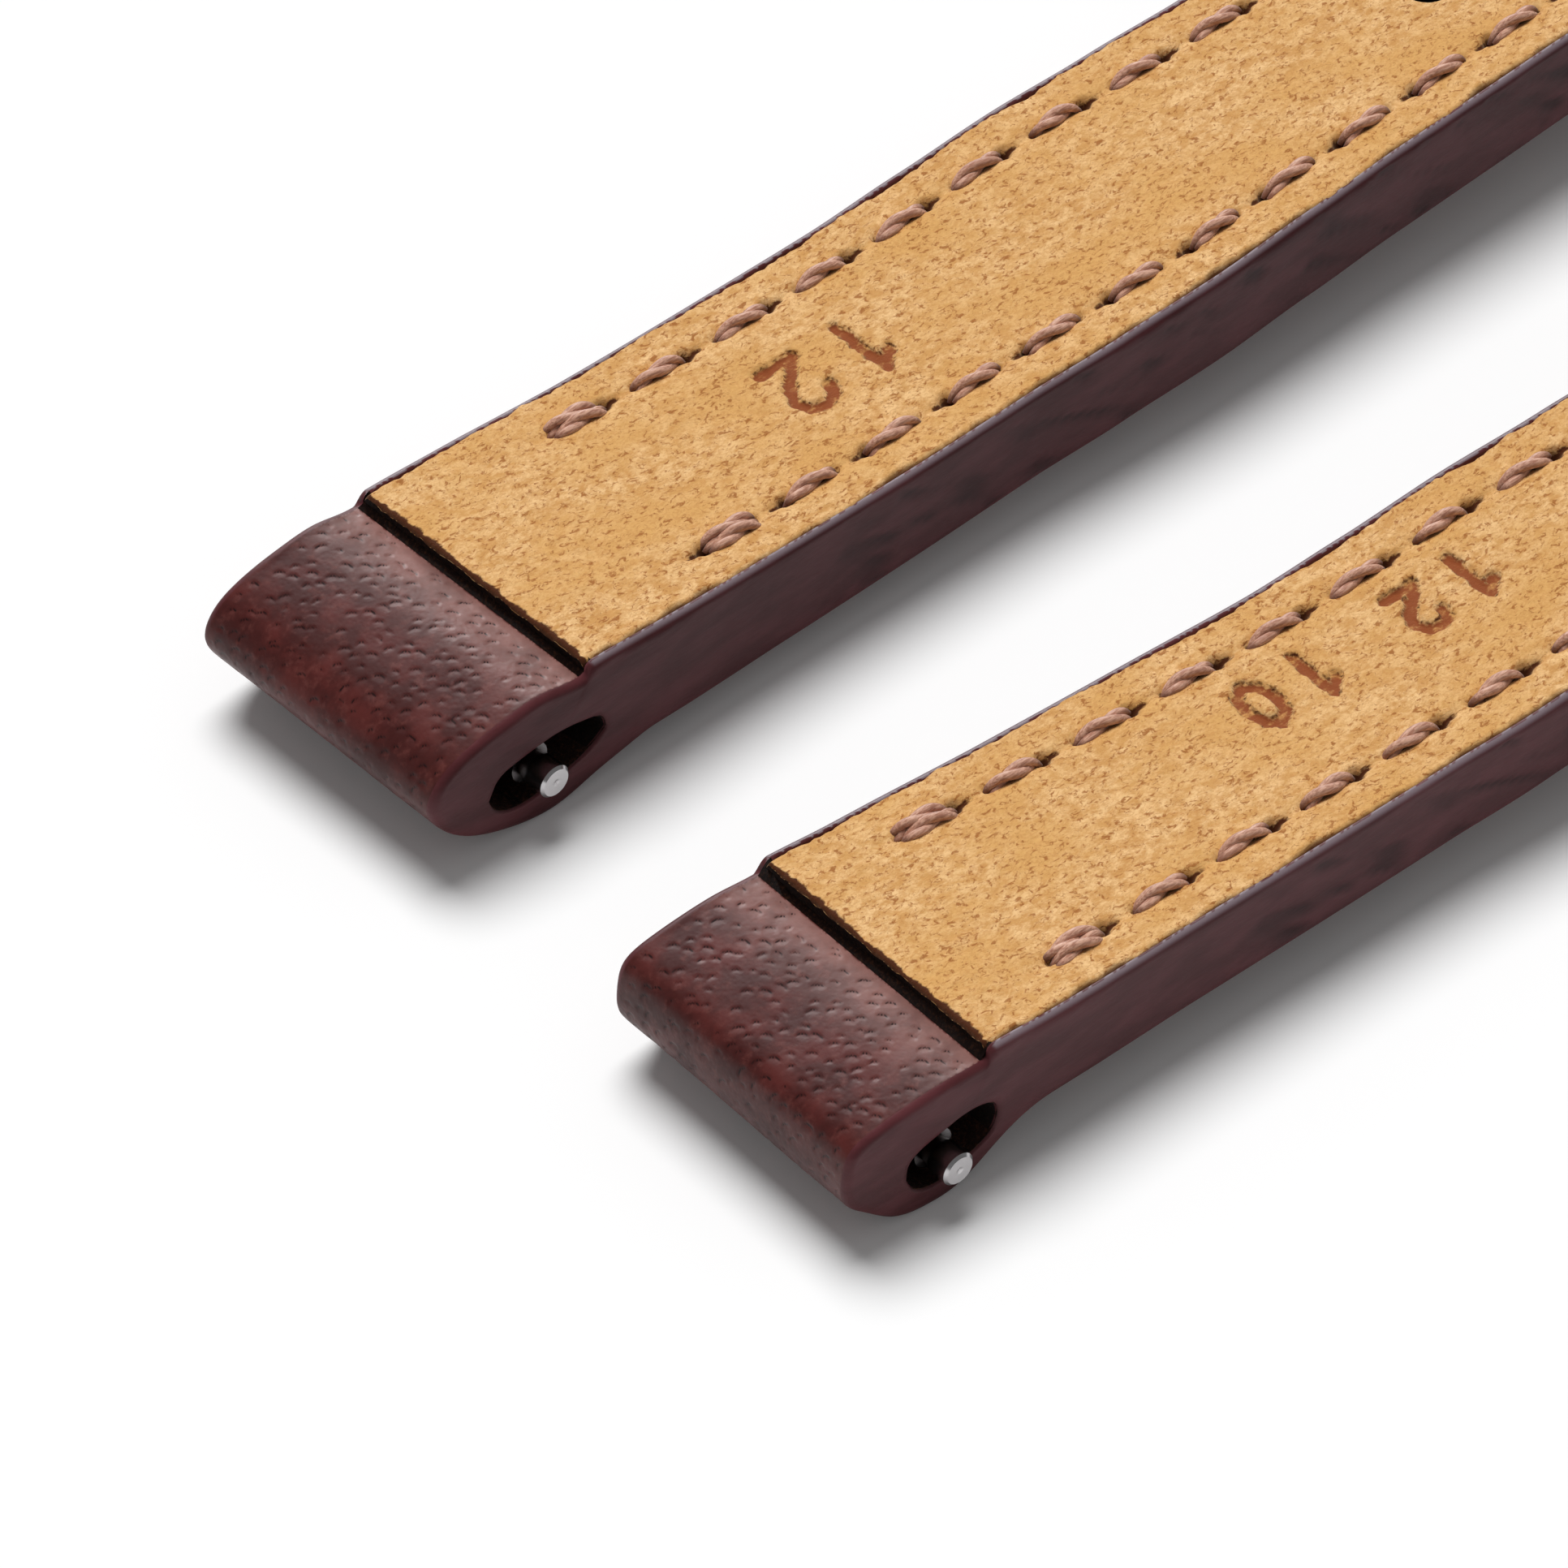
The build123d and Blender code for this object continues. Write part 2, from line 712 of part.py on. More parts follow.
@dataclass(frozen=True)
class Bar:
    """Sprung bar: a tube with a sliding tip in each end and a spring between them."""

    name: str
    plane: Plane
    tube_radius: float
    tube_reach: float
    stem_radius: float
    tip_radius: float
    tip_end: float
    flange_radius: float
    flange_start: float
    flange_end: float
    neck_end: float

    @property
    def bore(self):
        return self.tube_radius - tube_wall

    @property
    def head_end(self):
        return self.tube_reach - mouth_length - spring_end_gap

    @property
    def head_start(self):
        return self.head_end - head_length

    @property
    def coil_radius(self):
        return self.bore - spring_side_gap - wire_radius

    def axis(self):
        return Axis(self.plane.origin, self.plane.x_dir)

    def turned(self, points):
        """Solid of revolution about the bar, in the part being built."""
        with BuildSketch(self.plane) as section:
            with BuildLine():
                Polyline(*points, close=True)
            make_face()
        revolve(section.sketch, axis=self.axis())

    def make_tube(self):
        mouth = self.stem_radius + running_gap
        inner_end = self.tube_reach - mouth_length
        profile = [
            (inner_end, self.bore),
            (inner_end, mouth),
            (self.tube_reach, mouth),
            (self.tube_reach, self.tube_radius - tube_chamfer),
            (self.tube_reach - tube_chamfer, self.tube_radius),
        ]
        with BuildPart() as tube:
            self.turned(profile + [(-x, radius) for x, radius in reversed(profile)])
        finish(tube, f"{self.name}_tube")

    def make_tip(self, side, end_name):
        spigot = self.coil_radius - wire_radius - spring_side_gap
        profile = [
            (self.head_start - spigot_length, 0.0),
            (self.head_start - spigot_length, spigot),
            (self.head_start, spigot),
            (self.head_start, self.bore - running_gap),
            (self.head_end, self.bore - running_gap),
            (self.head_end, self.stem_radius),
        ]
        if self.flange_radius:
            profile += [
                (self.flange_start, self.stem_radius),
                (self.flange_start, self.flange_radius),
                (self.flange_end, self.flange_radius),
                (self.flange_end, self.tip_radius - lug_neck_depth),
                (self.neck_end, self.tip_radius),
            ]
        profile += [
            (self.tip_end - tip_chamfer, self.tip_radius),
            (self.tip_end, self.tip_radius - tip_chamfer),
            (self.tip_end, centre_mark_radius),
            (self.tip_end - centre_mark_depth, 0.0),
        ]
        with BuildPart() as tip:
            self.turned([(x * side, radius) for x, radius in profile])
        finish(tip, f"{self.name}_tip_{end_name}")

    def make_spring(self):
        reach = self.head_start - spring_end_gap - wire_radius
        with BuildPart() as spring:
            with BuildLine() as route:
                Helix(
                    pitch=2 * reach / spring_turns,
                    height=2 * reach,
                    radius=self.coil_radius,
                    center=self.plane.origin - self.plane.x_dir * reach,
                    direction=self.plane.x_dir,
                )
            with BuildSketch(Plane(origin=route.line @ 0, z_dir=route.line % 0)) as section:
                Circle(wire_radius)
            sweep(section.sketch, path=route.line)
        print(self.name, "spring, least gap between turns", round(least_gap(route.line), 3))
        finish(spring, f"{self.name}_spring")

    def make(self):
        self.make_tube()
        self.make_spring()
        self.make_tip(1, "left")
        self.make_tip(-1, "right")


def least_gap(route):
    """Least gap between turns of a spring, measured on points along its line."""
    per_turn = stations
    points = [route @ (i / (per_turn * spring_turns)) for i in range(per_turn * spring_turns + 1)]
    half_turn = per_turn // 2
    gaps = []
    for i, point in enumerate(points):
        for other in points[i + half_turn + 1:i + 2 * per_turn]:
            gaps.append((point - other).length - 2 * wire_radius)
    return min(gaps)


def lug_bar(half):
    """Sprung bar of a lug end, with a flange behind each tip."""
    side = strap_width / 2
    flange_end = side - lug_flange_inset
    flange_start = flange_end - lug_flange_length
    return Bar(
        name=f"{half.name}_lug_bar",
        plane=half.bar_plane(),
        tube_radius=lug_tube_radius,
        tube_reach=flange_start - lug_tip_reach - running_gap,
        stem_radius=lug_stem_radius,
        tip_radius=lug_tip_radius,
        tip_end=side + lug_tip_reach,
        flange_radius=lug_flange_radius,
        flange_start=flange_start,
        flange_end=flange_end,
        neck_end=side - lug_neck_inset,
    )


def buckle_bar():
    """Sprung bar of the buckle, whose plain tips sit in the frame's arms."""
    origin = short_half.point(short_end, 0, fold_height)
    return Bar(
        name="buckle_bar",
        plane=Plane(origin=origin, x_dir=short_half.across(), z_dir=short_half.along()),
        tube_radius=buckle_tube_radius,
        tube_reach=window_half_width - buckle_tube_end_gap,
        stem_radius=buckle_tip_radius,
        tip_radius=buckle_tip_radius,
        tip_end=window_half_width + buckle_tip_reach,
        flange_radius=0.0,
        flange_start=0.0,
        flange_end=0.0,
        neck_end=0.0,
    )


def buckle_side():
    """Side view of the hanging buckle: x from its bar to its front, y up from its plane."""
    tilt = radians(buckle_tilt)
    forward = short_half.along() * cos(tilt) - Vector(0, 0, 1) * sin(tilt)
    origin = short_half.point(short_end, 0, fold_height)
    return Plane(origin=origin, x_dir=forward, z_dir=-short_half.across())


def buckle_plan():
    """Plan of the hanging buckle: x from its bar to its front, y across."""
    side = buckle_side()
    return Plane(origin=side.origin, x_dir=side.x_dir, z_dir=side.y_dir)


def make_buckle_frame():
    """Buckle frame: two arms that taper to a round front bar."""
    front = buckle_reach + front_bar_radius
    with BuildSketch(buckle_side()) as arm:
        Circle(arm_boss_radius)
        with Locations((buckle_reach, 0)):
            Circle(front_bar_radius)
        make_hull()
    with BuildSketch(buckle_side()) as window:
        with Locations((0, 0)):
            Rectangle(2 * buckle_reach, 4 * arm_boss_radius)
        with Locations((buckle_reach, 0)):
            Circle(front_bar_radius, mode=Mode.SUBTRACT)
    with BuildSketch(buckle_plan()) as corners:
        with Locations((front - frame_half_width, 0)):
            Rectangle(2 * frame_half_width, 2 * frame_half_width)
        forward = Axis(buckle_plan().origin, buckle_plan().x_dir)
        fillet(corners.vertices().group_by(forward)[-1], arm_corner_radius)
        with Locations((-buckle_reach / 2, 0)):
            Rectangle(buckle_reach + 2 * front, 2 * frame_half_width)
    with BuildPart() as frame:
        extrude(arm.sketch, amount=frame_half_width, both=True)
        extrude(corners.sketch, amount=2 * arm_boss_radius, both=True, mode=Mode.INTERSECT)
        fillet(frame.edges(), frame_edge_radius)
        extrude(window.sketch, amount=window_half_width, both=True, mode=Mode.SUBTRACT)
        with BuildSketch(buckle_side()):
            Circle(buckle_tip_radius + tip_hole_gap)
        depth = window_half_width + buckle_tip_reach + tip_hole_gap
        extrude(amount=depth, both=True, mode=Mode.SUBTRACT)
    finish(frame, "buckle_frame")


def make_buckle_tang():
    """Tang: a ring on the buckle bar and a tongue that rests under the front bar."""
    ring = buckle_tube_radius + tang_gap + tang_ring_wall
    seat = front_bar_radius + tang_seat_gap
    with BuildSketch(buckle_side()) as profile:
        with BuildLine():
            Polyline(
                (0, -ring),
                (buckle_reach, -tang_low),
                (tang_end, -tang_low),
                (tang_end, -seat),
                (buckle_reach, -seat),
                (0, tang_thickness - ring),
                close=True,
            )
        make_face()
        Circle(ring)
        Circle(buckle_tube_radius + tang_gap, mode=Mode.SUBTRACT)
    with BuildPart() as tang:
        extrude(profile.sketch, amount=tang_width / 2, both=True)
        up = Axis(buckle_plan().origin, buckle_plan().z_dir)
        forward = Axis(buckle_plan().origin, buckle_plan().x_dir)
        tip_edges = tang.edges().filter_by(up).group_by(forward)[-1]
        fillet(tip_edges, tang_width / 2 * tang_corner_share)
    finish(tang, "buckle_tang")


def make_keeper(name, place):
    """Leather band round the strap, with room below for the long half's tip."""
    width = buckle_width + 2 * keeper_side_gap
    middle = short_half.point(place, 0, keeper_wall + keeper_height / 2)
    plane = Plane(origin=middle, x_dir=short_half.across(), z_dir=short_half.along())
    with BuildPart() as keeper:
        with BuildSketch(plane):
            RectangleRounded(width + 2 * keeper_wall, keeper_height + 2 * keeper_wall, keeper_corner)
            RectangleRounded(width, keeper_height, keeper_inner_corner, mode=Mode.SUBTRACT)
        extrude(amount=keeper_length / 2, both=True)
    finish(keeper, name)


os.makedirs("parts", exist_ok=True)
for strap_half in (long_half, short_half):
    make_face_leather(strap_half)
    make_lining(strap_half)
    make_filler(strap_half)
    make_loop_liner(strap_half)
    make_stitching(strap_half)
    lug_bar(strap_half).make()
buckle_bar().make()
make_buckle_frame()
make_buckle_tang()
make_keeper("fixed_keeper", short_end - fixed_keeper_from_bar)
make_keeper("free_keeper", short_end - fixed_keeper_from_bar - free_keeper_spacing)
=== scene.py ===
"""Looks of a two-piece leather watch strap, laid lining side up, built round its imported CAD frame.

Sizes inside the classes are in millimetres, as in the part's source. They become metres where a mesh
is made. Each half has its own frame: x from its lug bar to its far end, y across, z up from the table.
"""

import json
import logging
import math
from dataclasses import dataclass, field
from enum import Enum, IntEnum
from typing import Any, Iterable, Sequence

import bmesh
import bpy
import numpy as np
from mathutils import Matrix, Vector


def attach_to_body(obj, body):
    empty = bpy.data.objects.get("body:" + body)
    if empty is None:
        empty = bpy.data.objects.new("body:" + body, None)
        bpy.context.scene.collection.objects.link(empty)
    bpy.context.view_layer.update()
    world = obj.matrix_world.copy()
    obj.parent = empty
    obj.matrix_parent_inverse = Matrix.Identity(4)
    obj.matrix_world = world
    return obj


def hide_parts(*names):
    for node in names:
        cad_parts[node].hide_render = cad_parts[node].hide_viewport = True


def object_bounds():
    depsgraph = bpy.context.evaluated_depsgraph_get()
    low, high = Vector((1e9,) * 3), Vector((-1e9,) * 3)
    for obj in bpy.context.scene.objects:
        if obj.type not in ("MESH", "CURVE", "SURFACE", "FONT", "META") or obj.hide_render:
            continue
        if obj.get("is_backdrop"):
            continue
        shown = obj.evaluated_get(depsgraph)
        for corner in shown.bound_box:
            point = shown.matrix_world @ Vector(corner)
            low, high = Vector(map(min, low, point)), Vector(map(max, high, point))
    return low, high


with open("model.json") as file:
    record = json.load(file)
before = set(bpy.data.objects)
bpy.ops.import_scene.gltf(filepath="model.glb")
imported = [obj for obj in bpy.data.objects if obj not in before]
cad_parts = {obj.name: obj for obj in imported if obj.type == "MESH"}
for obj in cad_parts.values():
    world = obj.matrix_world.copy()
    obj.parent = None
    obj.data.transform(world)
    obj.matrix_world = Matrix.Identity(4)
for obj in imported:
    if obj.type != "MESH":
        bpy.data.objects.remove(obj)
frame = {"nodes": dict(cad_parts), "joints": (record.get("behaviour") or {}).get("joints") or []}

MM = 0.001
LOG = logging.getLogger("strap")
WHITE = (1.0, 1.0, 1.0, 1.0)
QUARTER = math.pi / 2
Table = tuple[tuple[float, float], ...]
Material = bpy.types.Material
Object = bpy.types.Object


class Side(IntEnum):
    """The two long sides of a half."""

    LEFT = 1
    RIGHT = -1


class Skin(IntEnum):
    """Which finish a face of a leather piece takes, as its material number."""

    GRAIN = 0
    PAINT = 1
    INSIDE = 2


class Face(Enum):
    """The two faces of the strap that stitches show on."""

    LINING = "lining"
    GRAIN = "grain"


# Materials


def colour(code: str) -> tuple[float, float, float, float]:
    """Linear colour of an sRGB hex value.

    Args:
        code: The colour as #RRGGBB.

    Returns:
        Red, green, blue and alpha, linear.
    """
    shares = [int(code[i:i + 2], 16) / 255 for i in (1, 3, 5)]
    linear = [c / 12.92 if c <= 0.04045 else ((c + 0.055) / 1.055) ** 2.4 for c in shares]
    return (*linear, 1.0)


def add(
    tree: bpy.types.NodeTree, kind: str, inputs: dict[Any, Any] | None = None, **settings: Any
) -> bpy.types.Node:
    """Adds a shader node with its settings, values and links.

    Args:
        tree: The material's node tree.
        kind: The node's type without the ShaderNode prefix.
        inputs: A value or an output socket for each input, by name or number.
        settings: The node's own properties.

    Returns:
        The new node.
    """
    node = tree.nodes.new("ShaderNode" + kind)
    for name, value in settings.items():
        setattr(node, name, value)
    for key, value in (inputs or {}).items():
        if isinstance(value, bpy.types.NodeSocket):
            tree.links.new(value, node.inputs[key])
        else:
            node.inputs[key].default_value = value
    return node


@dataclass(frozen=True)
class Coat:
    """A colour laid over the ones below it, wherever a pattern lies between two values."""

    pattern: str
    low: float
    high: float
    tone: str
    cover: float = 1.0
    soft: bool = True


@dataclass(frozen=True)
class Finish:
    """A surface finish, which becomes one material."""

    name: str

    def material(self) -> Material:
        """Builds the material.

        Returns:
            The new material, with its nodes.
        """
        made = bpy.data.materials.new(self.name)
        made.use_nodes = True
        tree = made.node_tree
        tree.nodes.clear()
        shader = add(tree, "BsdfPrincipled", self.surface(tree))
        add(tree, "OutputMaterial", {"Surface": shader.outputs[0]})
        return made

    def surface(self, tree: bpy.types.NodeTree) -> dict[str, Any]:
        """Gives the values and links of the shader's inputs. Each finish has its own."""
        raise NotImplementedError

    def millimetres(
        self, tree: bpy.types.NodeTree, stretch: Sequence[float] = (1, 1, 1)
    ) -> bpy.types.NodeSocket:
        """Position on the piece in millimetres.

        Args:
            tree: The material's node tree.
            stretch: Factor on each axis, under 1 for a pattern drawn out along it.

        Returns:
            The output socket with the position.
        """
        place = add(tree, "TexCoord").outputs["Object"]
        scale = [s / MM for s in stretch]
        return add(tree, "VectorMath", {0: place, 1: scale}, operation="MULTIPLY").outputs[0]

    def coated(
        self, tree: bpy.types.NodeTree, ground: str, patterns: dict[str, Any], coats: Sequence[Coat]
    ) -> bpy.types.NodeSocket:
        """Lays coats of colour on a ground, in order.

        Args:
            tree: The material's node tree.
            ground: The lowest colour.
            patterns: The output sockets that the coats follow, by name. A coat whose pattern isn't
                among them follows the values that the mesh carries under that name.
            coats: The coats, the lowest first.

        Returns:
            The output socket with the colour.
        """
        under: Any = colour(ground)
        for coat in coats:
            shape = "SMOOTHSTEP" if coat.soft else "LINEAR"
            value = patterns.get(coat.pattern)
            if value is None:
                value = add(tree, "Attribute", attribute_name=coat.pattern).outputs["Fac"]
            span = {"Value": value, "From Min": coat.low, "From Max": coat.high}
            share = add(tree, "MapRange", span, interpolation_type=shape).outputs[0]
            if coat.cover < 1:
                thin = add(tree, "Math", {0: share, 1: coat.cover}, operation="MULTIPLY")
                share = thin.outputs[0]
            mixed = add(tree, "Mix", {0: share, 6: under, 7: colour(coat.tone)}, data_type="RGBA")
            under = mixed.outputs[2]
        return under


@dataclass(frozen=True)
class Suede(Finish):
    """Calf suede, a sanded split: pale tan nap with darker flecks, dull, soft at grazing angles."""

    ground: str = "#CE9A5C"
    stretch: tuple[float, float, float] = (0.62, 1, 1)
    cloud_size: float = 2.857
    fleck_size: float = 0.42
    speck_size: float = 0.2
    # Real nap fibres are some 0.03 mm thick, too fine to show, so they are drawn about four times
    # as coarse.
    nap_size: float = 0.11
    nap_height: float = 0.035
    glow: str = "#FFE3BC"
    coats: tuple[Coat, ...] = (
        Coat("patch", 0.36, 0.62, "#EEC48C"),
        Coat("cloud", 0.35, 0.75, "#D9A765"),
        Coat("fibre", 0.42, 0.62, "#C58C50", 0.55),
        Coat("speck", 0.53, 0.64, "#9C5E2B", 0.85),
        # Dark brown from the numerals' burnt ring, and as painted shade in needle holes, slits, grooves
        # and at the cut front edge.
        Coat("stain", 0.75, 1.15, "#4A2412"),
        Coat("burn", 0.76, 1.0, "#8C4B2B"),
    )

    def surface(self, tree: bpy.types.NodeTree) -> dict[str, Any]:
        """Sets up the nap's colours, its dull sheen and its fibres.

        Args:
            tree: The material's node tree.

        Returns:
            Values and links of the shader's inputs.
        """
        along = self.millimetres(tree, self.stretch)
        settings = {
            "patch": {"Scale": 1 / self.fleck_size, "Detail": 5, "Roughness": 0.68},
            "speck": {"Scale": 1 / self.speck_size, "Detail": 4, "Roughness": 0.7, "Distortion": 0.6},
            "cloud": {"Scale": 1 / self.cloud_size, "Detail": 2},
            "fibre": {"Scale": 1 / self.nap_size, "Detail": 3, "Roughness": 0.65, "Distortion": 1.0},
        }
        patterns = {
            name: add(tree, "TexNoise", {"Vector": along, **values}).outputs[0]
            for name, values in settings.items()
        }
        patch, speck, fibre = patterns["patch"], patterns["speck"], patterns["fibre"]
        stain = add(tree, "Attribute", attribute_name="stain").outputs["Fac"]
        ragged = add(tree, "Math", {0: stain, 1: speck}, operation="ADD")
        burn = add(tree, "Attribute", attribute_name="burn").outputs["Fac"]
        half_burn = add(tree, "Math", {0: burn, 1: 0.5}, operation="MULTIPLY")
        uneven = add(tree, "Math", {0: half_burn.outputs[0], 1: patch}, operation="ADD")
        patterns |= {"stain": ragged.outputs[0], "burn": uneven.outputs[0]}
        height = add(tree, "Math", {0: fibre, 1: speck}, operation="ADD").outputs[0]
        bump = add(tree, "Bump", {
            "Height": height, "Distance": self.nap_height * MM, "Strength": 0.8,
        })
        return {
            "Base Color": self.coated(tree, self.ground, patterns, self.coats),
            "Normal": bump.outputs[0],
            "Roughness": 0.95,
            "Specular IOR Level": 0.2,
            "Sheen Weight": 0.25,
            "Sheen Roughness": 0.5,
            "Sheen Tint": colour(self.glow),
        }


@dataclass(frozen=True)
class GrainLeather(Finish):
    """Full-grain calf, dyed and pigmented: burgundy, satin where it's taut, with painted shade in its
    pores and dents and a painted sheen on the lug loop's top.
    """

    ground: str = "#3F1715"
    blotch_size: float = 1.6
    mottle_size: float = 0.4545
    grain_size: float = 0.16
    grain_height: float = 0.007
    dull: float = 0.5
    satin: float = 0.36
    coats: tuple[Coat, ...] = (
        Coat("blotch", 0.38, 0.66, "#562421"),
        Coat("mottle", 0.5, 0.75, "#6C3A35", 0.5),
        # Painted sheen: a pale pink laid on the loop's top towards the step, where the light falls on
        # it.
        Coat("rub", 0.0, 1.0, "#A47A72", soft=False),
        # Painted shade: the far wall of each pore and each dent is darkened where the light doesn't
        # reach.
        Coat("pore", 0.15, 0.8, "#1F0A0A"),
    )

    def surface(self, tree: bpy.types.NodeTree) -> dict[str, Any]:
        """Sets up the blotched colour, the pores' painted shade, the loop's painted sheen and the fine
        grain.

        Args:
            tree: The material's node tree.

        Returns:
            Values and links of the shader's inputs.
        """
        place = self.millimetres(tree)
        blotch = add(tree, "TexNoise", {
            "Vector": place, "Scale": 1 / self.blotch_size, "Detail": 5, "Roughness": 0.6,
        }).outputs[0]
        mottle = add(tree, "TexNoise", {
            "Vector": place, "Scale": 1 / self.mottle_size, "Detail": 4, "Roughness": 0.6,
        }).outputs[0]
        sheen_share = add(tree, "Attribute", attribute_name="rub").outputs["Fac"]
        rub = add(tree, "Math", {0: sheen_share, 1: blotch}, operation="MULTIPLY").outputs[0]
        patterns = {"blotch": blotch, "mottle": mottle, "rub": rub}
        grains = {"Vector": place, "Scale": 1 / self.grain_size}
        cells = add(tree, "TexVoronoi", grains, feature="SMOOTH_F1").outputs["Distance"]
        height = add(tree, "Math", {0: cells, 1: mottle}, operation="ADD").outputs[0]
        bump = add(tree, "Bump", {
            "Height": height, "Distance": self.grain_height * MM, "Strength": 1.0,
        })
        gloss = add(tree, "MapRange", {
            "Value": blotch, "From Min": 0.3, "From Max": 0.7,
            "To Min": self.dull, "To Max": self.satin,
        })
        return {
            "Base Color": self.coated(tree, self.ground, patterns, self.coats),
            "Normal": bump.outputs[0],
            "Roughness": gloss.outputs[0],
            "Specular IOR Level": 0.3,
        }


@dataclass(frozen=True)
class EdgePaint(Finish):
    """Acrylic edge paint, brushed on cut leather: dark purple-brown, satin, streaked lengthwise."""

    ground: str = "#4C2326"
    stretch: tuple[float, float, float] = (0.25, 0.6, 1)
    streak_size: float = 0.9
    bristle_size: float = 0.2
    streak_height: float = 0.02
    coats: tuple[Coat, ...] = (
        Coat("streak", 0.35, 0.7, "#5E3034"),
        # Painted shade: darker where the paint sinks into pits.
        Coat("pit", 0.0, 1.0, "#341215", soft=False),
        # Painted highlight: a lighter grey along the paint's upper rounded edge, where light catches
        # it.
        Coat("crest", 0.4, 1.0, "#7E7076"),
    )

    def surface(self, tree: bpy.types.NodeTree) -> dict[str, Any]:
        """Sets up the streaked paint, the painted shade in its pits and the painted highlight along its
        crest.

        Args:
            tree: The material's node tree.

        Returns:
            Values and links of the shader's inputs.
        """
        along = self.millimetres(tree, self.stretch)
        streak = add(tree, "TexNoise", {
            "Vector": along, "Scale": 1 / self.streak_size, "Detail": 5, "Roughness": 0.55,
        }).outputs[0]
        bristle = add(tree, "TexNoise", {
            "Vector": along, "Scale": 1 / self.bristle_size, "Detail": 3, "Roughness": 0.6,
        }).outputs[0]
        height = add(tree, "Math", {0: streak, 1: bristle}, operation="ADD").outputs[0]
        bump = add(tree, "Bump", {
            "Height": height, "Distance": self.streak_height * MM, "Strength": 0.8,
        })
        return {
            "Base Color": self.coated(tree, self.ground, {"streak": streak}, self.coats),
            "Normal": bump.outputs[0],
            "Roughness": 0.48,
            "Specular IOR Level": 0.22,
        }


@dataclass(frozen=True)
class CutEdgeAndShade(Finish):
    """Leather cut through and burnished, as at the lining's end, dull and fibrous, made almost black as
    painted shade where it lines tunnels, holes and openings.
    """

    ground: str = "#0E0605"
    light: str = "#2E1A10"
    fibre_size: float = 0.12
    fibre_height: float = 0.05

    def surface(self, tree: bpy.types.NodeTree) -> dict[str, Any]:
        """Sets up the near-black, fibrous edge, whose darkness is partly painted shade.

        Args:
            tree: The material's node tree.

        Returns:
            Values and links of the shader's inputs.
        """
        place = self.millimetres(tree)
        fibre = add(tree, "TexNoise", {
            "Vector": place, "Scale": 1 / self.fibre_size, "Detail": 4, "Roughness": 0.7,
        }).outputs[0]
        bump = add(tree, "Bump", {
            "Height": fibre, "Distance": self.fibre_height * MM, "Strength": 1.0,
        })
        tips = Coat("fibre", 0.45, 0.75, self.light)
        return {
            "Base Color": self.coated(tree, self.ground, {"fibre": fibre}, (tips,)),
            "Normal": bump.outputs[0],
            "Roughness": 0.9,
            "Specular IOR Level": 0.25,
        }


@dataclass(frozen=True)
class WaxedThread(Finish):
    """Linen thread, spun and waxed: pinkish brown, each ply with fine fibres and a faint waxy sheen."""

    ground: str = "#A8745E"
    stretch: tuple[float, float, float] = (0.15, 1, 1)
    # Linen fibres are some 0.02 mm thick, too fine to show, so they are drawn about three times as
    # coarse.
    fibre_size: float = 0.07
    fibre_height: float = 0.02
    tone_size: float = 0.8333
    coats: tuple[Coat, ...] = (
        Coat("fibre", 0.35, 0.65, "#D6A890"),
        # Painted shade: darker where the thread sinks into its holes.
        Coat("sunk", 0.3, 1.0, "#5A2E1E"),
        Coat("tone", 0.5, 0.9, "#A8745E"),
    )

    def surface(self, tree: bpy.types.NodeTree) -> dict[str, Any]:
        """Sets up the fibres of the plies and the painted shade where the thread sinks into its holes.

        Args:
            tree: The material's node tree.

        Returns:
            Values and links of the shader's inputs.
        """
        along = self.millimetres(tree, self.stretch)
        fibre = add(tree, "TexNoise", {
            "Vector": along, "Scale": 1 / self.fibre_size, "Detail": 3, "Roughness": 0.6,
        }).outputs[0]
        tone = add(tree, "TexNoise", {
            "Vector": along, "Scale": 1 / self.tone_size, "Detail": 3,
        }).outputs[0]
        patterns = {"fibre": fibre, "tone": tone}
        bump = add(tree, "Bump", {
            "Height": fibre, "Distance": self.fibre_height * MM, "Strength": 1.0,
        })
        return {
            "Base Color": self.coated(tree, self.ground, patterns, self.coats),
            "Normal": bump.outputs[0],
            "Roughness": 0.5,
            "Sheen Weight": 0.2,
        }


@dataclass(frozen=True)
class Steel(Finish):
    """Stainless steel, turned or brushed: bright, with a soft blur across the marks and painted shade
    in nooks.
    """

    ground: str = "#C9C6C7"
    roughness: float = 0.2
    stretch: tuple[float, float, float] = (0.4, 30.0, 0.4)
    mark_height: float = 0.0015
    smear_size: float = 0.7143
    nook_size: float = 1.6
    coats: tuple[Coat, ...] = (
        Coat("smear", 0.0, 1.0, "#B4B1B2", soft=False),
        # Painted shade: a warm near-black laid where the metal lies in the leather's nooks.
        Coat("open", 0.85, 0.35, "#24140F"),
    )

    def surface(self, tree: bpy.types.NodeTree) -> dict[str, Any]:
        """Sets up the metal, its tool marks and a warm, dark painted shade and reflection where it lies
        in the leather's nooks.

        Args:
            tree: The material's node tree.

        Returns:
            Values and links of the shader's inputs.
        """
        marks = add(tree, "TexNoise", {
            "Vector": self.millimetres(tree, self.stretch), "Scale": 1.0, "Detail": 3,
        })
        smear = add(tree, "TexNoise", {
            "Vector": self.millimetres(tree), "Scale": 1 / self.smear_size, "Detail": 3,
        }).outputs[0]
        gloss = add(tree, "MapRange", {
            "Value": smear, "From Min": 0.3, "From Max": 0.7,
            "To Min": self.roughness * 0.8, "To Max": self.roughness * 1.3,
        })
        bump = add(tree, "Bump", {
            "Height": marks.outputs[0], "Distance": self.mark_height * MM, "Strength": 1.0,
        })
        nook_shade = add(tree, "AmbientOcclusion", {"Distance": self.nook_size * MM}, samples=8)
        patterns = {"smear": smear, "open": nook_shade.outputs["AO"]}
        return {
            "Base Color": self.coated(tree, self.ground, patterns, self.coats),
            "Normal": bump.outputs[0],
            "Roughness": gloss.outputs[0],
            "Metallic": 1.0,
        }


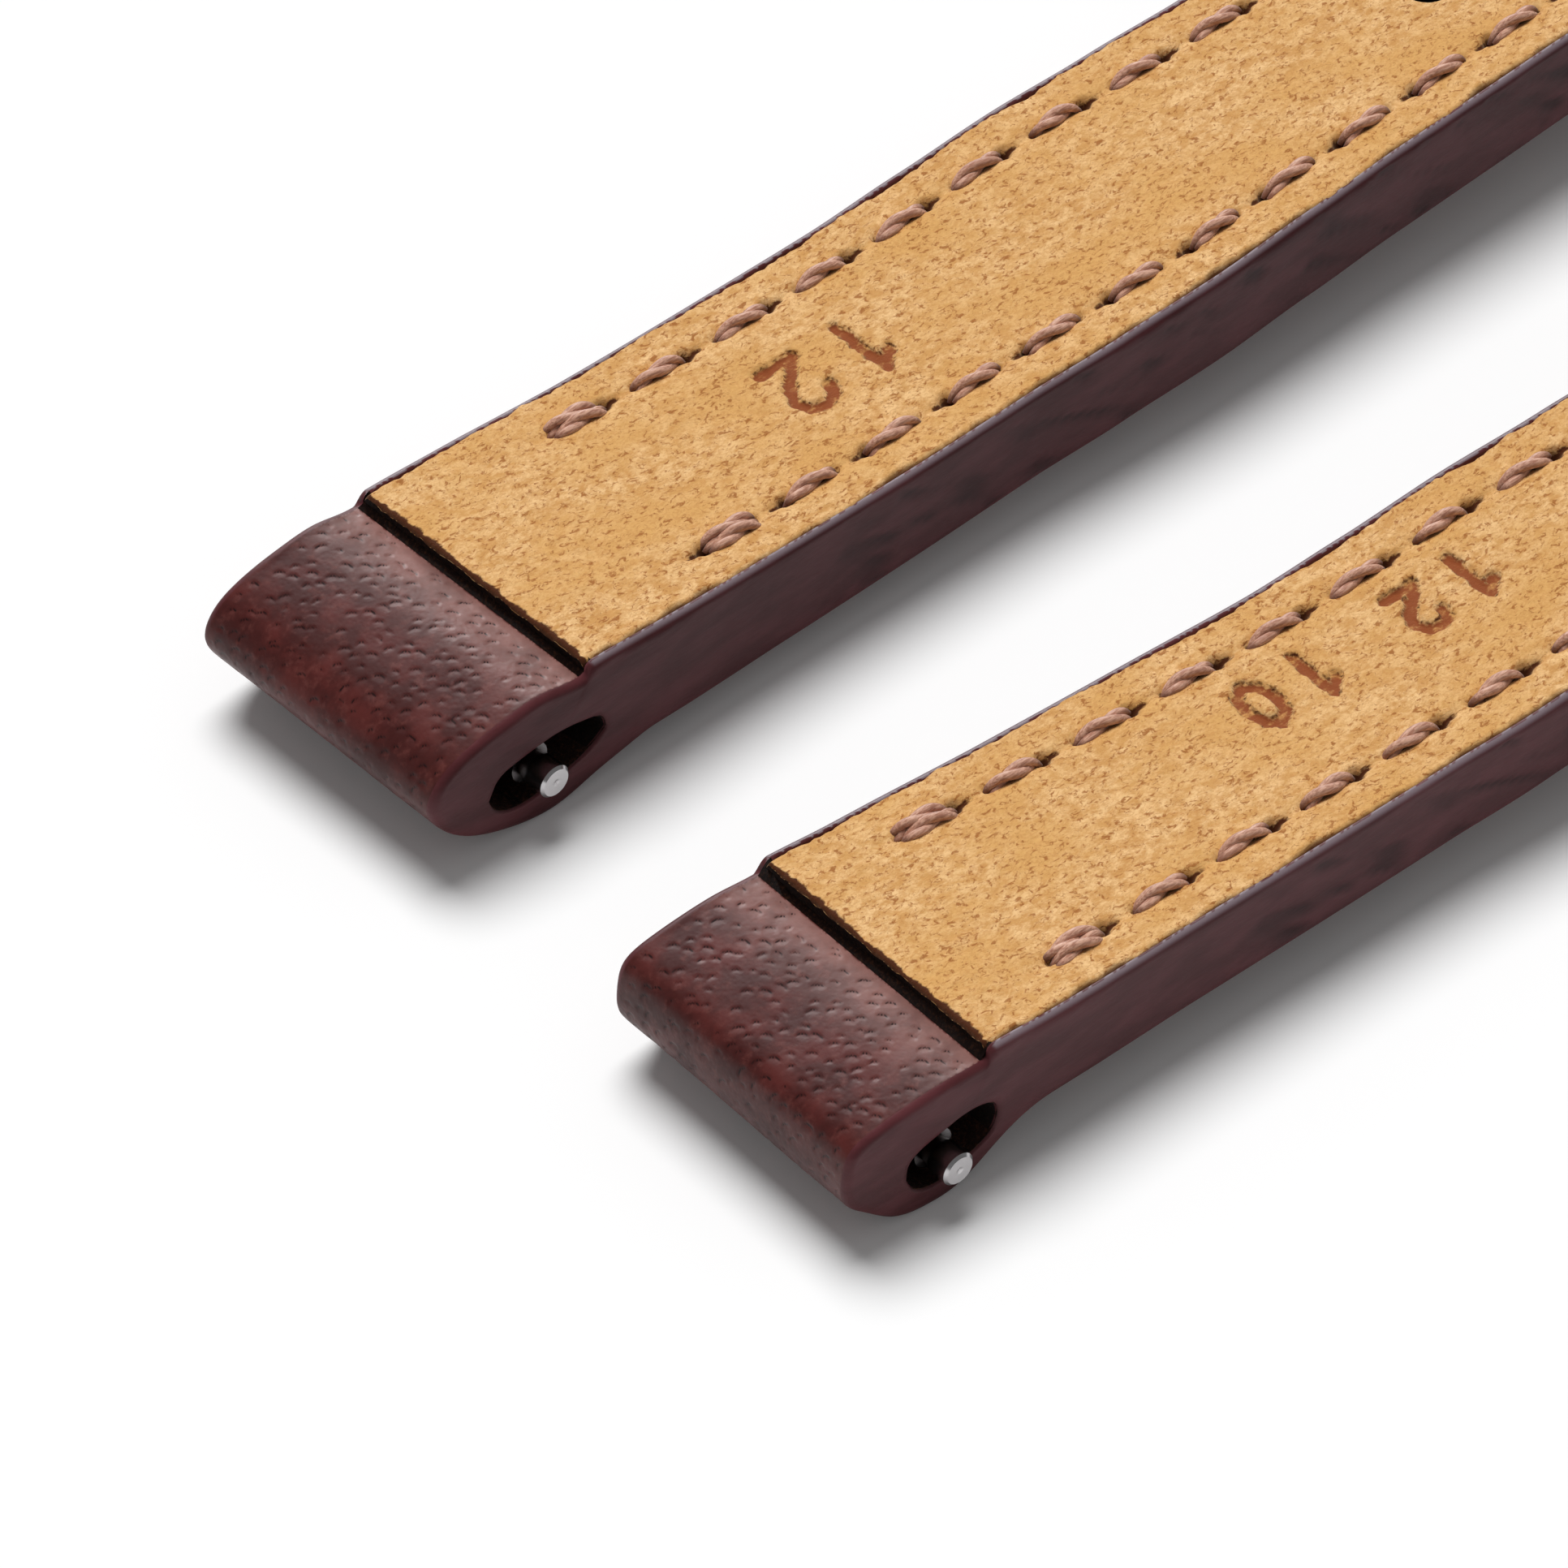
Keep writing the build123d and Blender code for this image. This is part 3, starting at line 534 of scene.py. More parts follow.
@dataclass(frozen=True)
class StudioFloor(Finish):
    """Matt white paper sweep, uncoated: it takes the soft shadow and shows pure white around it."""

    paper: str = "#F2F2F2"
    glow: float = 0.04

    def surface(self, tree: bpy.types.NodeTree) -> dict[str, Any]:
        """Sets up the paper, with a little white added where a camera sees it.

        Args:
            tree: The material's node tree.

        Returns:
            Values and links of the shader's inputs.
        """
        path = add(tree, "LightPath")
        seen = path.outputs["Is Camera Ray"]
        glow = add(tree, "Math", {0: seen, 1: self.glow}, operation="MULTIPLY")
        return {
            "Base Color": colour(self.paper),
            "Roughness": 1.0,
            "Specular IOR Level": 0.0,
            "Emission Color": WHITE,
            "Emission Strength": glow.outputs[0],
        }


# Shapes


HASH_SIZE = 8192
HASH = np.random.default_rng(11).uniform(-1, 1, HASH_SIZE)
AXIS_PRIMES = (73856093, 19349663, 83492791)
SEED_STEP = 2654435


def noise(points: np.ndarray, size: float, seed: int = 0) -> np.ndarray:
    """Smooth noise from -1 to 1.

    Args:
        points: Places, one row of coordinates each, in millimetres.
        size: Width of one bump of the noise, in millimetres.
        seed: Which noise.

    Returns:
        One value for each point.
    """
    places = np.atleast_2d(np.asarray(points, float)) / size
    base = np.floor(places).astype(np.int64)
    part = places - base
    fade = part * part * (3 - 2 * part)
    total = np.zeros(len(places))
    for corner in np.ndindex(*(2,) * places.shape[1]):
        key = np.full(len(places), seed * SEED_STEP + 17, np.int64)
        weight = np.ones(len(places))
        for axis, step in enumerate(corner):
            key ^= (base[:, axis] + step) * AXIS_PRIMES[axis]
            weight *= fade[:, axis] if step else 1 - fade[:, axis]
        total += weight * HASH[key & (HASH_SIZE - 1)]
    return total


def smooth(table: Table, share: np.ndarray | float) -> np.ndarray:
    """Value on a smooth line through a table of shares.

    Args:
        table: Pairs of a share and its value.
        share: Where to read the line.

    Returns:
        The value at each share.
    """
    knots, values = np.array(table, float).T
    slopes = np.zeros(len(knots))
    slopes[1:-1] = (values[2:] - values[:-2]) / (knots[2:] - knots[:-2])
    share = np.clip(share, knots[0], knots[-1])
    i = np.clip(np.searchsorted(knots, share, side="right") - 1, 0, len(knots) - 2)
    span = knots[i + 1] - knots[i]
    u = (share - knots[i]) / span
    start = (1 + 2 * u) * (1 - u) ** 2 * values[i] + u * (1 - u) ** 2 * span * slopes[i]
    return start + u * u * (3 - 2 * u) * values[i + 1] + u * u * (u - 1) * span * slopes[i + 1]


def travelled(line: np.ndarray) -> np.ndarray:
    """Length of a line from its start up to each of its points."""
    return np.concatenate([[0.0], np.cumsum(np.linalg.norm(np.diff(line, axis=0), axis=1))])


def curve_through(
    points: Sequence[Sequence[float]], spacing: float,
    ends: Sequence[Sequence[float]] | None = None, samples: int = 1200,
) -> np.ndarray:
    """Evenly spaced points on a smooth curve through given ones.

    Args:
        points: The points to pass through.
        spacing: Distance between the points returned.
        ends: Directions at the two ends, or None for free ends.
        samples: How finely the curve is measured before it's divided.

    Returns:
        Points along the curve, the first and last ones among them.
    """
    knots = np.asarray(points, float)
    run = np.linalg.norm(np.diff(knots, axis=0), axis=1)
    places = np.concatenate([[0.0], np.cumsum(run)])
    count = len(knots)
    matrix = np.zeros((count, count))
    target = np.zeros(knots.shape)
    for i in range(1, count - 1):
        before, after = run[i - 1], run[i]
        matrix[i, i - 1:i + 2] = 1 / before, 2 / before + 2 / after, 1 / after
        target[i] = 3 * (knots[i] - knots[i - 1]) / before ** 2
        target[i] += 3 * (knots[i + 1] - knots[i]) / after ** 2
    if ends is None:
        matrix[0, :2] = 2, 1
        matrix[-1, -2:] = 1, 2
        target[0] = 3 * (knots[1] - knots[0]) / run[0]
        target[-1] = 3 * (knots[-1] - knots[-2]) / run[-1]
    else:
        matrix[0, 0] = matrix[-1, -1] = 1
        target[0], target[-1] = ends
    slopes = np.linalg.solve(matrix, target)
    dense = np.linspace(0, places[-1], samples)
    i = np.clip(np.searchsorted(places, dense, side="right") - 1, 0, count - 2)
    u = ((dense - places[i]) / run[i])[:, None]
    span = run[i][:, None]
    fine = (1 + 2 * u) * (1 - u) ** 2 * knots[i] + u * (1 - u) ** 2 * span * slopes[i]
    fine += u * u * (3 - 2 * u) * knots[i + 1] + u * u * (u - 1) * span * slopes[i + 1]
    length = travelled(fine)
    even = np.linspace(0, length[-1], max(int(round(length[-1] / spacing)), 2) + 1)
    return np.stack([np.interp(even, length, fine[:, axis]) for axis in range(fine.shape[1])], axis=1)


def inward(line: np.ndarray) -> np.ndarray:
    """Unit normals on the left of a line in the side view.

    Args:
        line: Points along and up.

    Returns:
        One normal for each point.
    """
    ahead = np.gradient(line, axis=0)
    ahead /= np.linalg.norm(ahead, axis=1)[:, None]
    return np.stack([-ahead[:, 1], ahead[:, 0]], axis=1)


@dataclass
class Patchwork:
    """Gathers patches of faces in a half's own frame and welds them into one mesh."""

    points: list[np.ndarray] = field(default_factory=list)
    faces: list[tuple[int, ...]] = field(default_factory=list)
    skins: list[int] = field(default_factory=list)
    marks: dict[str, list[np.ndarray]] = field(default_factory=dict)
    count: int = 0

    def grid(
        self, rows: np.ndarray, skin: int = 0, flip: bool = False, wrap: bool = False,
        **marks: np.ndarray,
    ) -> None:
        """Adds a grid of points as faces.

        Args:
            rows: Points as an array of rows, columns and coordinates.
            skin: Material number of its faces.
            flip: Whether the faces turn over.
            wrap: Whether the last column joins the first.
            marks: Values for each point, by attribute name.
        """
        height, width = rows.shape[:2]
        number = np.arange(height * width).reshape(height, width) + self.count
        right = np.roll(number, -1, axis=1) if wrap else number[:, 1:]
        here = number if wrap else number[:, :-1]
        quads = np.stack([here[:-1], right[:-1], right[1:], here[1:]], axis=-1).reshape(-1, 4)
        quads = quads[:, ::-1] if flip else quads
        self.faces += [tuple(q) for q in quads.tolist()]
        self.skins += [int(skin)] * len(quads)
        values = {name: np.asarray(mark, float).reshape(-1) for name, mark in marks.items()}
        self.add_points(rows.reshape(-1, 3), values)

    def sheet(self, loop: np.ndarray, skin: int = 0) -> None:
        """Adds one face with many corners.

        Args:
            loop: Its corners in order.
            skin: Its material number.
        """
        self.faces.append(tuple(range(self.count, self.count + len(loop))))
        self.skins.append(int(skin))
        self.add_points(loop, {})

    def add_points(self, points: np.ndarray, marks: dict[str, np.ndarray]) -> None:
        """Stores points and their marks, with zero for a mark that isn't given.

        Args:
            points: The points, one row each.
            marks: Values for each point, by attribute name.
        """
        for name in set(self.marks) | set(marks):
            kept = self.marks.setdefault(name, [np.zeros(self.count)] if self.count else [])
            kept.append(marks.get(name, np.zeros(len(points))))
        self.points.append(np.asarray(points, float))
        self.count += len(points)

    def mesh(
        self, name: str, half: "Half", finishes: Sequence[Material], weld: float = 0.0015
    ) -> Object:
        """Makes the object, in metres in the row's frame.

        Args:
            name: The piece's name.
            half: The half in whose frame the points are.
            finishes: Its materials, by number.
            weld: Distance under which points join, in millimetres.

        Returns:
            The new object, linked into the scene.
        """
        data = bpy.data.meshes.new(name)
        data.from_pydata(half.placed(np.concatenate(self.points)).tolist(), [], self.faces)
        data.polygons.foreach_set("material_index", self.skins)
        for mark, values in self.marks.items():
            kept = data.attributes.new(mark, "FLOAT", "POINT")
            kept.data.foreach_set("value", np.concatenate(values).astype(np.float32))
        for finish in finishes:
            data.materials.append(finish)
        piece = bpy.data.objects.new(name, data)
        bpy.context.scene.collection.objects.link(piece)
        if weld:
            tidy_mesh(data, weld * MM)
        data.shade_smooth()
        return piece


def tidy_mesh(data: bpy.types.Mesh, weld: float) -> None:
    """Joins points that meet, drops faces without area and turns all faces outwards.

    Args:
        data: The mesh.
        weld: Distance under which points join, in metres.
    """
    work = bmesh.new()
    work.from_mesh(data)
    bmesh.ops.remove_doubles(work, verts=work.verts, dist=weld)
    bmesh.ops.dissolve_degenerate(work, edges=work.edges, dist=weld / 10)
    bmesh.ops.recalc_face_normals(work, faces=work.faces)
    work.to_mesh(data)
    work.free()


def baked(piece: Object) -> None:
    """Applies a piece's modifiers to its mesh.

    Args:
        piece: The piece, which keeps its name and materials.
    """
    bpy.context.view_layer.update()
    result = piece.evaluated_get(bpy.context.evaluated_depsgraph_get())
    made = bpy.data.meshes.new_from_object(result)
    piece.modifiers.clear()
    piece.data = made


def cut(piece: Object, cutter: Object) -> None:
    """Cuts one closed piece out of another, with clean walls, and drops the cutter.

    Args:
        piece: The piece that gets the opening.
        cutter: The tool, which is removed afterwards.
    """
    tool = piece.modifiers.new("cut", "BOOLEAN")
    tool.operation = "DIFFERENCE"
    tool.solver = "MANIFOLD"
    tool.object = cutter
    tool.material_mode = "TRANSFER"
    baked(piece)
    bpy.data.objects.remove(cutter)


def tube(path: np.ndarray, radius: np.ndarray, sides: int, up: np.ndarray) -> np.ndarray:
    """Rings of points round a path.

    Args:
        path: Points of the centre line.
        radius: Radius at each point.
        sides: Points in each ring.
        up: A direction that is never along the path.

    Returns:
        Points as an array of rings, corners and coordinates.
    """
    ahead = np.gradient(path, axis=0)
    ahead /= np.linalg.norm(ahead, axis=1)[:, None]
    across = np.cross(ahead, up)
    across /= np.linalg.norm(across, axis=1)[:, None]
    over = np.cross(across, ahead)
    turn = np.arange(sides) * 2 * math.pi / sides
    ring = across[:, None] * np.cos(turn)[None, :, None]
    ring = ring + over[:, None] * np.sin(turn)[None, :, None]
    return path[:, None] + ring * radius[:, None, None]


@dataclass(frozen=True)
class Half:
    """One half of the strap, with the formulas that give its shape.

    Places along are measured from the lug bar. A table of shares is a course from the neck, 0, to the
    far end, 1. The loop's and the tunnel's tables are points of their outlines instead.

    Attributes:
        name: The half's name in the frame.
        nose: How far the lug loop reaches in front of the bar.
        step: Where the lining and its bed start.
        neck: Where the loop passes into the body.
        loop_height: Height of the loop.
        loop_floor: Height of the tunnel's lowest point.
        tunnel_front: How far the tunnel reaches in front of the bar.
        tunnel_rear: How far it reaches behind the bar.
        tunnel_height: Height of the tunnel.
        neck_lift: Height of the grain side at the neck.
        lift: How much higher than there the half rises.
        thickness: Thickness of the body next to the loop.
        end_thickness: Thickness at the far end.
        end: Where the half ends, or the buckle bar's axis.
        taper_end: Where the width stops tapering.
        belly: How far the taper bulges in its middle.
        stitch_start: Where the rows of stitches start.
        stitch_end: Where their straight part ends.
        lining_end: Where the lining ends.
        tip_length: Length of the rounded tip, 0 for an end that folds round the buckle bar.
        step_share: Height of the loop's leather under the lining's front edge, as a share.
        wide: Width at the lug bar.
        narrow: Width at the far end.
        stitch_inset: Distance of the stitches from the side.
        stitch_pitch: Distance from stitch to stitch.
        step_gap: Gap between the loop and the lining's front edge.
        wave_length: Length of the waves that a hand cut leaves in the sides.
        wave_height: Height of those waves.
        wave_free: Length without waves at the lug bar.
        wave_margin: Length without waves at the far end.
    """

    name: str
    nose: float
    step: float
    neck: float
    loop_height: float
    loop_floor: float
    tunnel_front: float
    tunnel_rear: float
    tunnel_height: float
    neck_lift: float
    lift: float
    thickness: float
    end_thickness: float
    end: float
    taper_end: float
    belly: float
    stitch_start: float
    stitch_end: float
    lining_end: float
    tip_length: float
    step_share: float
    loop_shares: Table
    tunnel_shares: Table
    lift_shares: Table
    thickness_shares: Table
    drop_shares: Table = ()
    wide: float = 11.8
    narrow: float = 10.0
    stitch_inset: float = 2.0
    stitch_pitch: float = 3.85
    step_gap: float = 0.25
    wave_length: float = 4.6
    wave_height: float = 0.16
    wave_free: float = 7.0
    wave_margin: float = 9.0

    @property
    def body(self) -> str:
        """The CAD body that the half's pieces ride on."""
        return f"{self.name}_strap"

    @property
    def joint(self) -> dict[str, Any]:
        """The lug bar's joint, which gives the half's place in the row."""
        return next(j for j in frame["joints"] if j["name"] == f"{self.name}_lug_bar_turn")

    def placed(self, points: np.ndarray) -> np.ndarray:
        """Moves points of the half's own frame into the row's frame.

        Args:
            points: Places along, across and up, in millimetres.

        Returns:
            The same points in metres.
        """
        across = np.array(self.joint["axis"], float)
        along = np.array([across[1], -across[0], 0.0])
        origin = np.array([*self.joint["pos_m"][:2], 0.0])
        local = np.asarray(points, float) * MM
        up = np.array([0, 0, 1.0])
        return origin + local[..., :1] * along + local[..., 1:2] * across + local[..., 2:] * up

    def share(self, x: np.ndarray | float) -> np.ndarray:
        """Share of the way from the neck to the far end."""
        return (np.asarray(x, float) - self.neck) / (self.end - self.neck)

    def under(self, x: np.ndarray | float) -> np.ndarray:
        """Height of the grain side."""
        drop = smooth(self.drop_shares, self.share(x)) if self.drop_shares else 0.0
        return self.neck_lift * (1 - drop) + self.lift * smooth(self.lift_shares, self.share(x))

    def top(self, x: np.ndarray | float) -> np.ndarray:
        """Height of the lining side."""
        spare = self.thickness - self.end_thickness
        return self.under(x) + self.end_thickness + spare * smooth(self.thickness_shares, self.share(x))

    def half_width(self, x: np.ndarray | float) -> np.ndarray:
        """Half the width, which tapers with a slight belly and a hand cut's waves.

        Args:
            x: Places along the half.

        Returns:
            Half the width at each place.
        """
        x = np.asarray(x, float)
        u = np.clip(x / self.taper_end, 0, 1)
        wave = noise(np.column_stack([x.ravel(), 0 * x.ravel()]), self.wave_length, 2).reshape(x.shape)
        calm = np.clip((x - self.wave_free) / 4, 0, 1)
        calm = calm * np.clip((self.end - self.wave_margin - x) / 6, 0, 1)
        straight = (self.wide + (self.narrow - self.wide) * u) / 2
        return straight + self.belly * 2 * u * (1 - u) + self.wave_height * wave * calm

    def base(self, x: np.ndarray, inset: float) -> np.ndarray:
        """Half the width inside the rounded sides, which closes round the tip.

        Args:
            x: Places along the half.
            inset: Distance from the sides.

        Returns:
            Half the width that is left at each place.
        """
        width = self.half_width(x) - inset
        if not self.tip_length:
            return width
        shoulder = self.end - self.tip_length
        u = np.clip((np.asarray(x, float) - shoulder) / (self.tip_length - inset), 0, 1)
        return width * np.sqrt(np.clip(1 - u * u, 0, 1))

    def loop_line(self, spacing: float) -> np.ndarray:
        """Outline of the lug loop in the side view, from the step to the neck.

        Args:
            spacing: Distance between its points.

        Returns:
            Points along and up.
        """
        points = [(self.step - self.step_gap, self.step_share * self.loop_height)]
        for along, up in self.loop_shares:
            points.append((along * (self.nose if along < 0 else self.neck), up * self.loop_height))
        points.append((self.neck, float(self.under(self.neck))))
        return curve_through(points, spacing, ((-1, 0), (1, 0)))

    def tunnel_line(self, spacing: float) -> np.ndarray:
        """Outline of the lug bar's tunnel in the side view.

        Args:
            spacing: Distance between its points.

        Returns:
            Points along and up, as an open ring.
        """
        points = np.array([
            (a * (self.tunnel_front if a < 0 else self.tunnel_rear),
             self.loop_floor + u * self.tunnel_height)
            for a, u in self.tunnel_shares
        ])
        rear = int(points[:, 0].argmax())
        first = curve_through(points[:rear + 1], spacing)
        second = curve_through(np.concatenate([points[rear:], points[:1]]), spacing)
        return np.concatenate([first[:-1], second[:-1]])

    def rows(self) -> list[np.ndarray]:
        """Lines of the stitches.

        Returns:
            One line each side, or a single one that runs round the tip.
        """
        places = np.linspace(self.stitch_start, self.stitch_end, 61)
        left = np.stack([places, self.half_width(places) - self.stitch_inset], axis=1)
        right = left * (1, -1)
        if not self.tip_length:
            return [left, right]
        reach = self.tip_length - self.stitch_inset
        width = float(self.half_width(self.end)) - self.stitch_inset
        turn = QUARTER - math.pi * np.arange(1, 60) / 60
        tip = np.stack([self.stitch_end + reach * np.cos(turn), width * np.sin(turn)], axis=1)
        return [np.concatenate([left, tip, right[::-1]])]

    def stitches(self) -> list[tuple[np.ndarray, np.ndarray, bool]]:
        """Plan of the stitches.

        Returns:
            Start, end and whether it is doubled, for each stitch.
        """
        found = []
        for row in self.rows():
            length = travelled(row)
            count = max(round(length[-1] / self.stitch_pitch), 1)
            at = np.linspace(0, length[-1], count + 1)
            holes = np.stack([np.interp(at, length, row[:, k]) for k in (0, 1)], axis=1)
            doubled = (0, count - 1) if self.tip_length else (0,)
            found += [(holes[i], holes[i + 1], i in doubled) for i in range(count)]
        return found


LONG = Half(
    name="long", nose=4.85, step=2.25, neck=5.4, loop_height=5.45, loop_floor=1.3,
    tunnel_front=2.3, tunnel_rear=3.05, tunnel_height=2.26, neck_lift=0.9, lift=1.75,
    thickness=4.75, end_thickness=2.5, end=107.15, taper_end=84.0, belly=0.62,
    stitch_start=8.6, stitch_end=101.55, lining_end=107.15, tip_length=5.6, step_share=0.95,
    loop_shares=(
        (0.05, 1.0), (-0.25, 0.985), (-0.66, 0.91), (-0.92, 0.775), (-1.0, 0.61), (-0.91, 0.42),
        (-0.68, 0.215), (-0.4, 0.09), (-0.1, 0.012), (0.18, -0.005), (0.48, 0.068), (0.78, 0.132),
    ),
    tunnel_shares=(
        (-1.0, 0.48), (-0.8, 0.8), (-0.35, 0.95), (0.12, 1.0), (0.6, 0.94), (0.93, 0.74),
        (0.98, 0.52), (0.68, 0.26), (0.3, 0.1), (-0.1, 0.0), (-0.55, 0.02), (-0.87, 0.2),
    ),
    lift_shares=(
        (0.0, 0.0), (0.08, 0.05), (0.2, 0.3), (0.36, 0.7), (0.52, 1.0), (0.68, 0.72), (0.82, 0.12),
        (0.92, 0.0),
    ),
    thickness_shares=(
        (-0.03, 1.0), (0.0, 0.95), (0.07, 0.8), (0.17, 0.68), (0.27, 0.66), (0.45, 0.6), (0.7, 0.2),
        (0.85, 0.0),
    ),
    drop_shares=((0.6, 0.0), (0.76, 0.35), (0.9, 0.97), (0.94, 1.0)),
)
SHORT = Half(
    name="short", nose=4.2, step=2.0, neck=5.0, loop_height=5.15, loop_floor=1.0,
    tunnel_front=1.6, tunnel_rear=2.35, tunnel_height=2.42, neck_lift=1.62, lift=2.23,
    thickness=4.1, end_thickness=3.3, end=66.15, taper_end=48.0, belly=0.08,
    stitch_start=5.6, stitch_end=59.75, lining_end=60.55, tip_length=0.0, step_share=0.985,
    loop_shares=(
        (0.04, 1.0), (-0.28, 0.99), (-0.64, 0.955), (-0.93, 0.86), (-1.0, 0.65), (-0.97, 0.44),
        (-0.76, 0.25), (-0.42, 0.04), (-0.1, -0.01), (0.16, 0.005), (0.44, 0.14), (0.72, 0.272),
    ),
    tunnel_shares=(
        (-1.0, 0.42), (-0.93, 0.68), (-0.6, 0.85), (-0.2, 0.93), (0.3, 1.0), (0.66, 0.98),
        (0.93, 0.85), (1.0, 0.6), (0.88, 0.35), (0.55, 0.18), (0.15, 0.04), (-0.25, 0.0),
        (-0.75, 0.12),
    ),
    lift_shares=((0.0, 0.0), (0.2, 0.0), (0.35, 0.07), (0.55, 0.55), (0.68, 0.97), (0.72, 1.0)),
    thickness_shares=((-0.05, 0.85), (0.0, 0.65), (0.12, 0.48), (0.32, 0.3), (0.5, 0.2), (0.7, 0.0)),
)


@dataclass(frozen=True)
class LeatherBody:
    """Outer leather of a half with its padding: loop, grain side, painted sides, the lining's bed.

    Attributes:
        half: The half.
        grain: Finish of the grain side.
        paint: Finish of the sides.
        inside: Finish of the tunnel and of what lies in the dark, near black as painted shade.
        rim: Radius of the rounded edges.
        lip: How far inside the rim the lining's bed lies.
        corner: Radius of the corner over the loop.
        split: How far behind the neck the lug end passes into the long side.
        fine: Distance between points on the loop and across the half.
        pitch: Distance between points along the part that the photograph shows.
        far_pitch: The same beyond it.
        under_pitch: The same under the lug end.
        seen: Where the photograph's part ends.
        tip_steps: Points round the tip.
        fold_steps: Points round the fold.
        bore_steps: Points round the buckle bar's tunnel.
        tunnel_pitch: Distance between points round the lug bar's tunnel.
        foot_gap: How far the wall over the loop stays above the loop.
        blend: Points over which the loop's normals turn into the underside's.
        fold_radius: Outer radius of the fold round the buckle bar.
        bar_tunnel: Radius of the tunnel in the fold.
        mouth_lip: How far the paint swells up at a tunnel's mouth.
        mouth_width: Width of that swelling.
        mouth_depth: How far the paint reaches into the tunnel.
        quarter_steps: Steps in each rounded edge.
        wall_steps: Steps up the side.
        ring_steps: Steps from the rim to a tunnel's mouth.
        bore_rows: Steps from the mouth to the middle of the half.
        paint_swell: Height of the paint's broad swells.
        paint_ripple: Height of its ripples.
        pit_depth: Depth of its pits.
        pits_from: Where the pits start.
        pore_spacing: Distance between pores.
        pore_radius: Radius of a pore.
        pore_depth: Depth of a pore.
        pore_gaps: Share of the pores that are missing.
        pore_slant: Direction in which the pores open, in degrees.
        pore_reach: How far to each side the pores are laid.
        swell_size: Width of the leather's soft swells.
        swell_height: Their height.
        pebble_size: Width of its small pebbles.
        pebble_height: Their height.
        edge_fade: Width next to the rim where the relief dies out.
    """

    half: Half
    grain: Material
    paint: Material
    inside: Material
    rim: float = 0.3
    lip: float = 0.14
    corner: float = 0.3
    split: float = 1.2
    fine: float = 0.07
    pitch: float = 0.14
    far_pitch: float = 0.3
    under_pitch: float = 0.12
    seen: float = 52.0
    tip_steps: int = 40
    fold_steps: int = 70
    bore_steps: int = 60
    tunnel_pitch: float = 0.08
    foot_gap: float = 0.08
    blend: int = 20
    fold_radius: float = 1.65
    bar_tunnel: float = 0.87
    mouth_lip: float = 0.07
    mouth_width: float = 0.08
    mouth_depth: float = 0.07
    quarter_steps: int = 5
    wall_steps: int = 14
    ring_steps: int = 15
    bore_rows: int = 7
    paint_swell: float = 0.03
    paint_ripple: float = 0.015
    pit_depth: float = 0.1
    pits_from: float = 9.0
    pore_spacing: float = 0.68
    pore_radius: float = 0.155
    pore_depth: float = 0.042
    pore_gaps: float = 0.12
    pore_slant: float = 140.0
    pore_reach: float = 6.2
    swell_size: float = 1.8
    swell_height: float = 0.022
    pebble_size: float = 0.5
    pebble_height: float = 0.006
    edge_fade: float = 0.25

    def columns(self) -> np.ndarray:
        """Places along the half where the side has a column of points.

        Returns:
            The places, closer together in the part that the photograph shows.
        """
        start = self.half.neck + self.split
        if self.half.tip_length:
            shoulder = self.half.end - self.half.tip_length
            near = np.arange(start, self.seen, self.pitch)
            plain = np.concatenate([near, np.arange(self.seen, shoulder, self.far_pitch)])
            turn = np.linspace(0, QUARTER, self.tip_steps)
            return np.concatenate([plain, shoulder + (self.half.tip_length - self.rim) * np.sin(turn)])
        last = self.half.end - 2 * self.fold_radius
        return np.concatenate([np.arange(start, last - 0.2, self.pitch), [last]])

    def side_relief(self, x: np.ndarray, z: np.ndarray, side: int) -> tuple[np.ndarray, np.ndarray]:
        """Unevenness of the painted sides.

        Args:
            x: Places along the half.
            z: Heights.
            side: Which side, 1 or -1.

        Returns:
            How far the paint stands out, and how deep it is in a pit, which also darkens it as painted
            shade.
        """
        place = np.stack([x.ravel(), z.ravel(), np.full(x.size, side * 7.0)], axis=1)
        swell = self.paint_swell * noise(place * (0.35, 0.6, 1), 1.0, 3)
        swell = swell + self.paint_ripple * noise(place * (1, 1.6, 1), 0.7, 4)
        slant = place @ np.array([[0.8, 0.5, 0], [-0.5, 1.3, 0], [0, 0, 1]])
        pits = np.clip(noise(slant * (0.55, 1.5, 1), 0.9, 5) - 0.3, 0, 1) * 1.6
        pits *= np.clip((place[:, 0] - self.pits_from) / 8, 0, 1)
        relief = (swell - self.pit_depth * pits).reshape(x.shape)
        return relief, np.clip(pits * 1.3, 0, 1).reshape(x.shape)

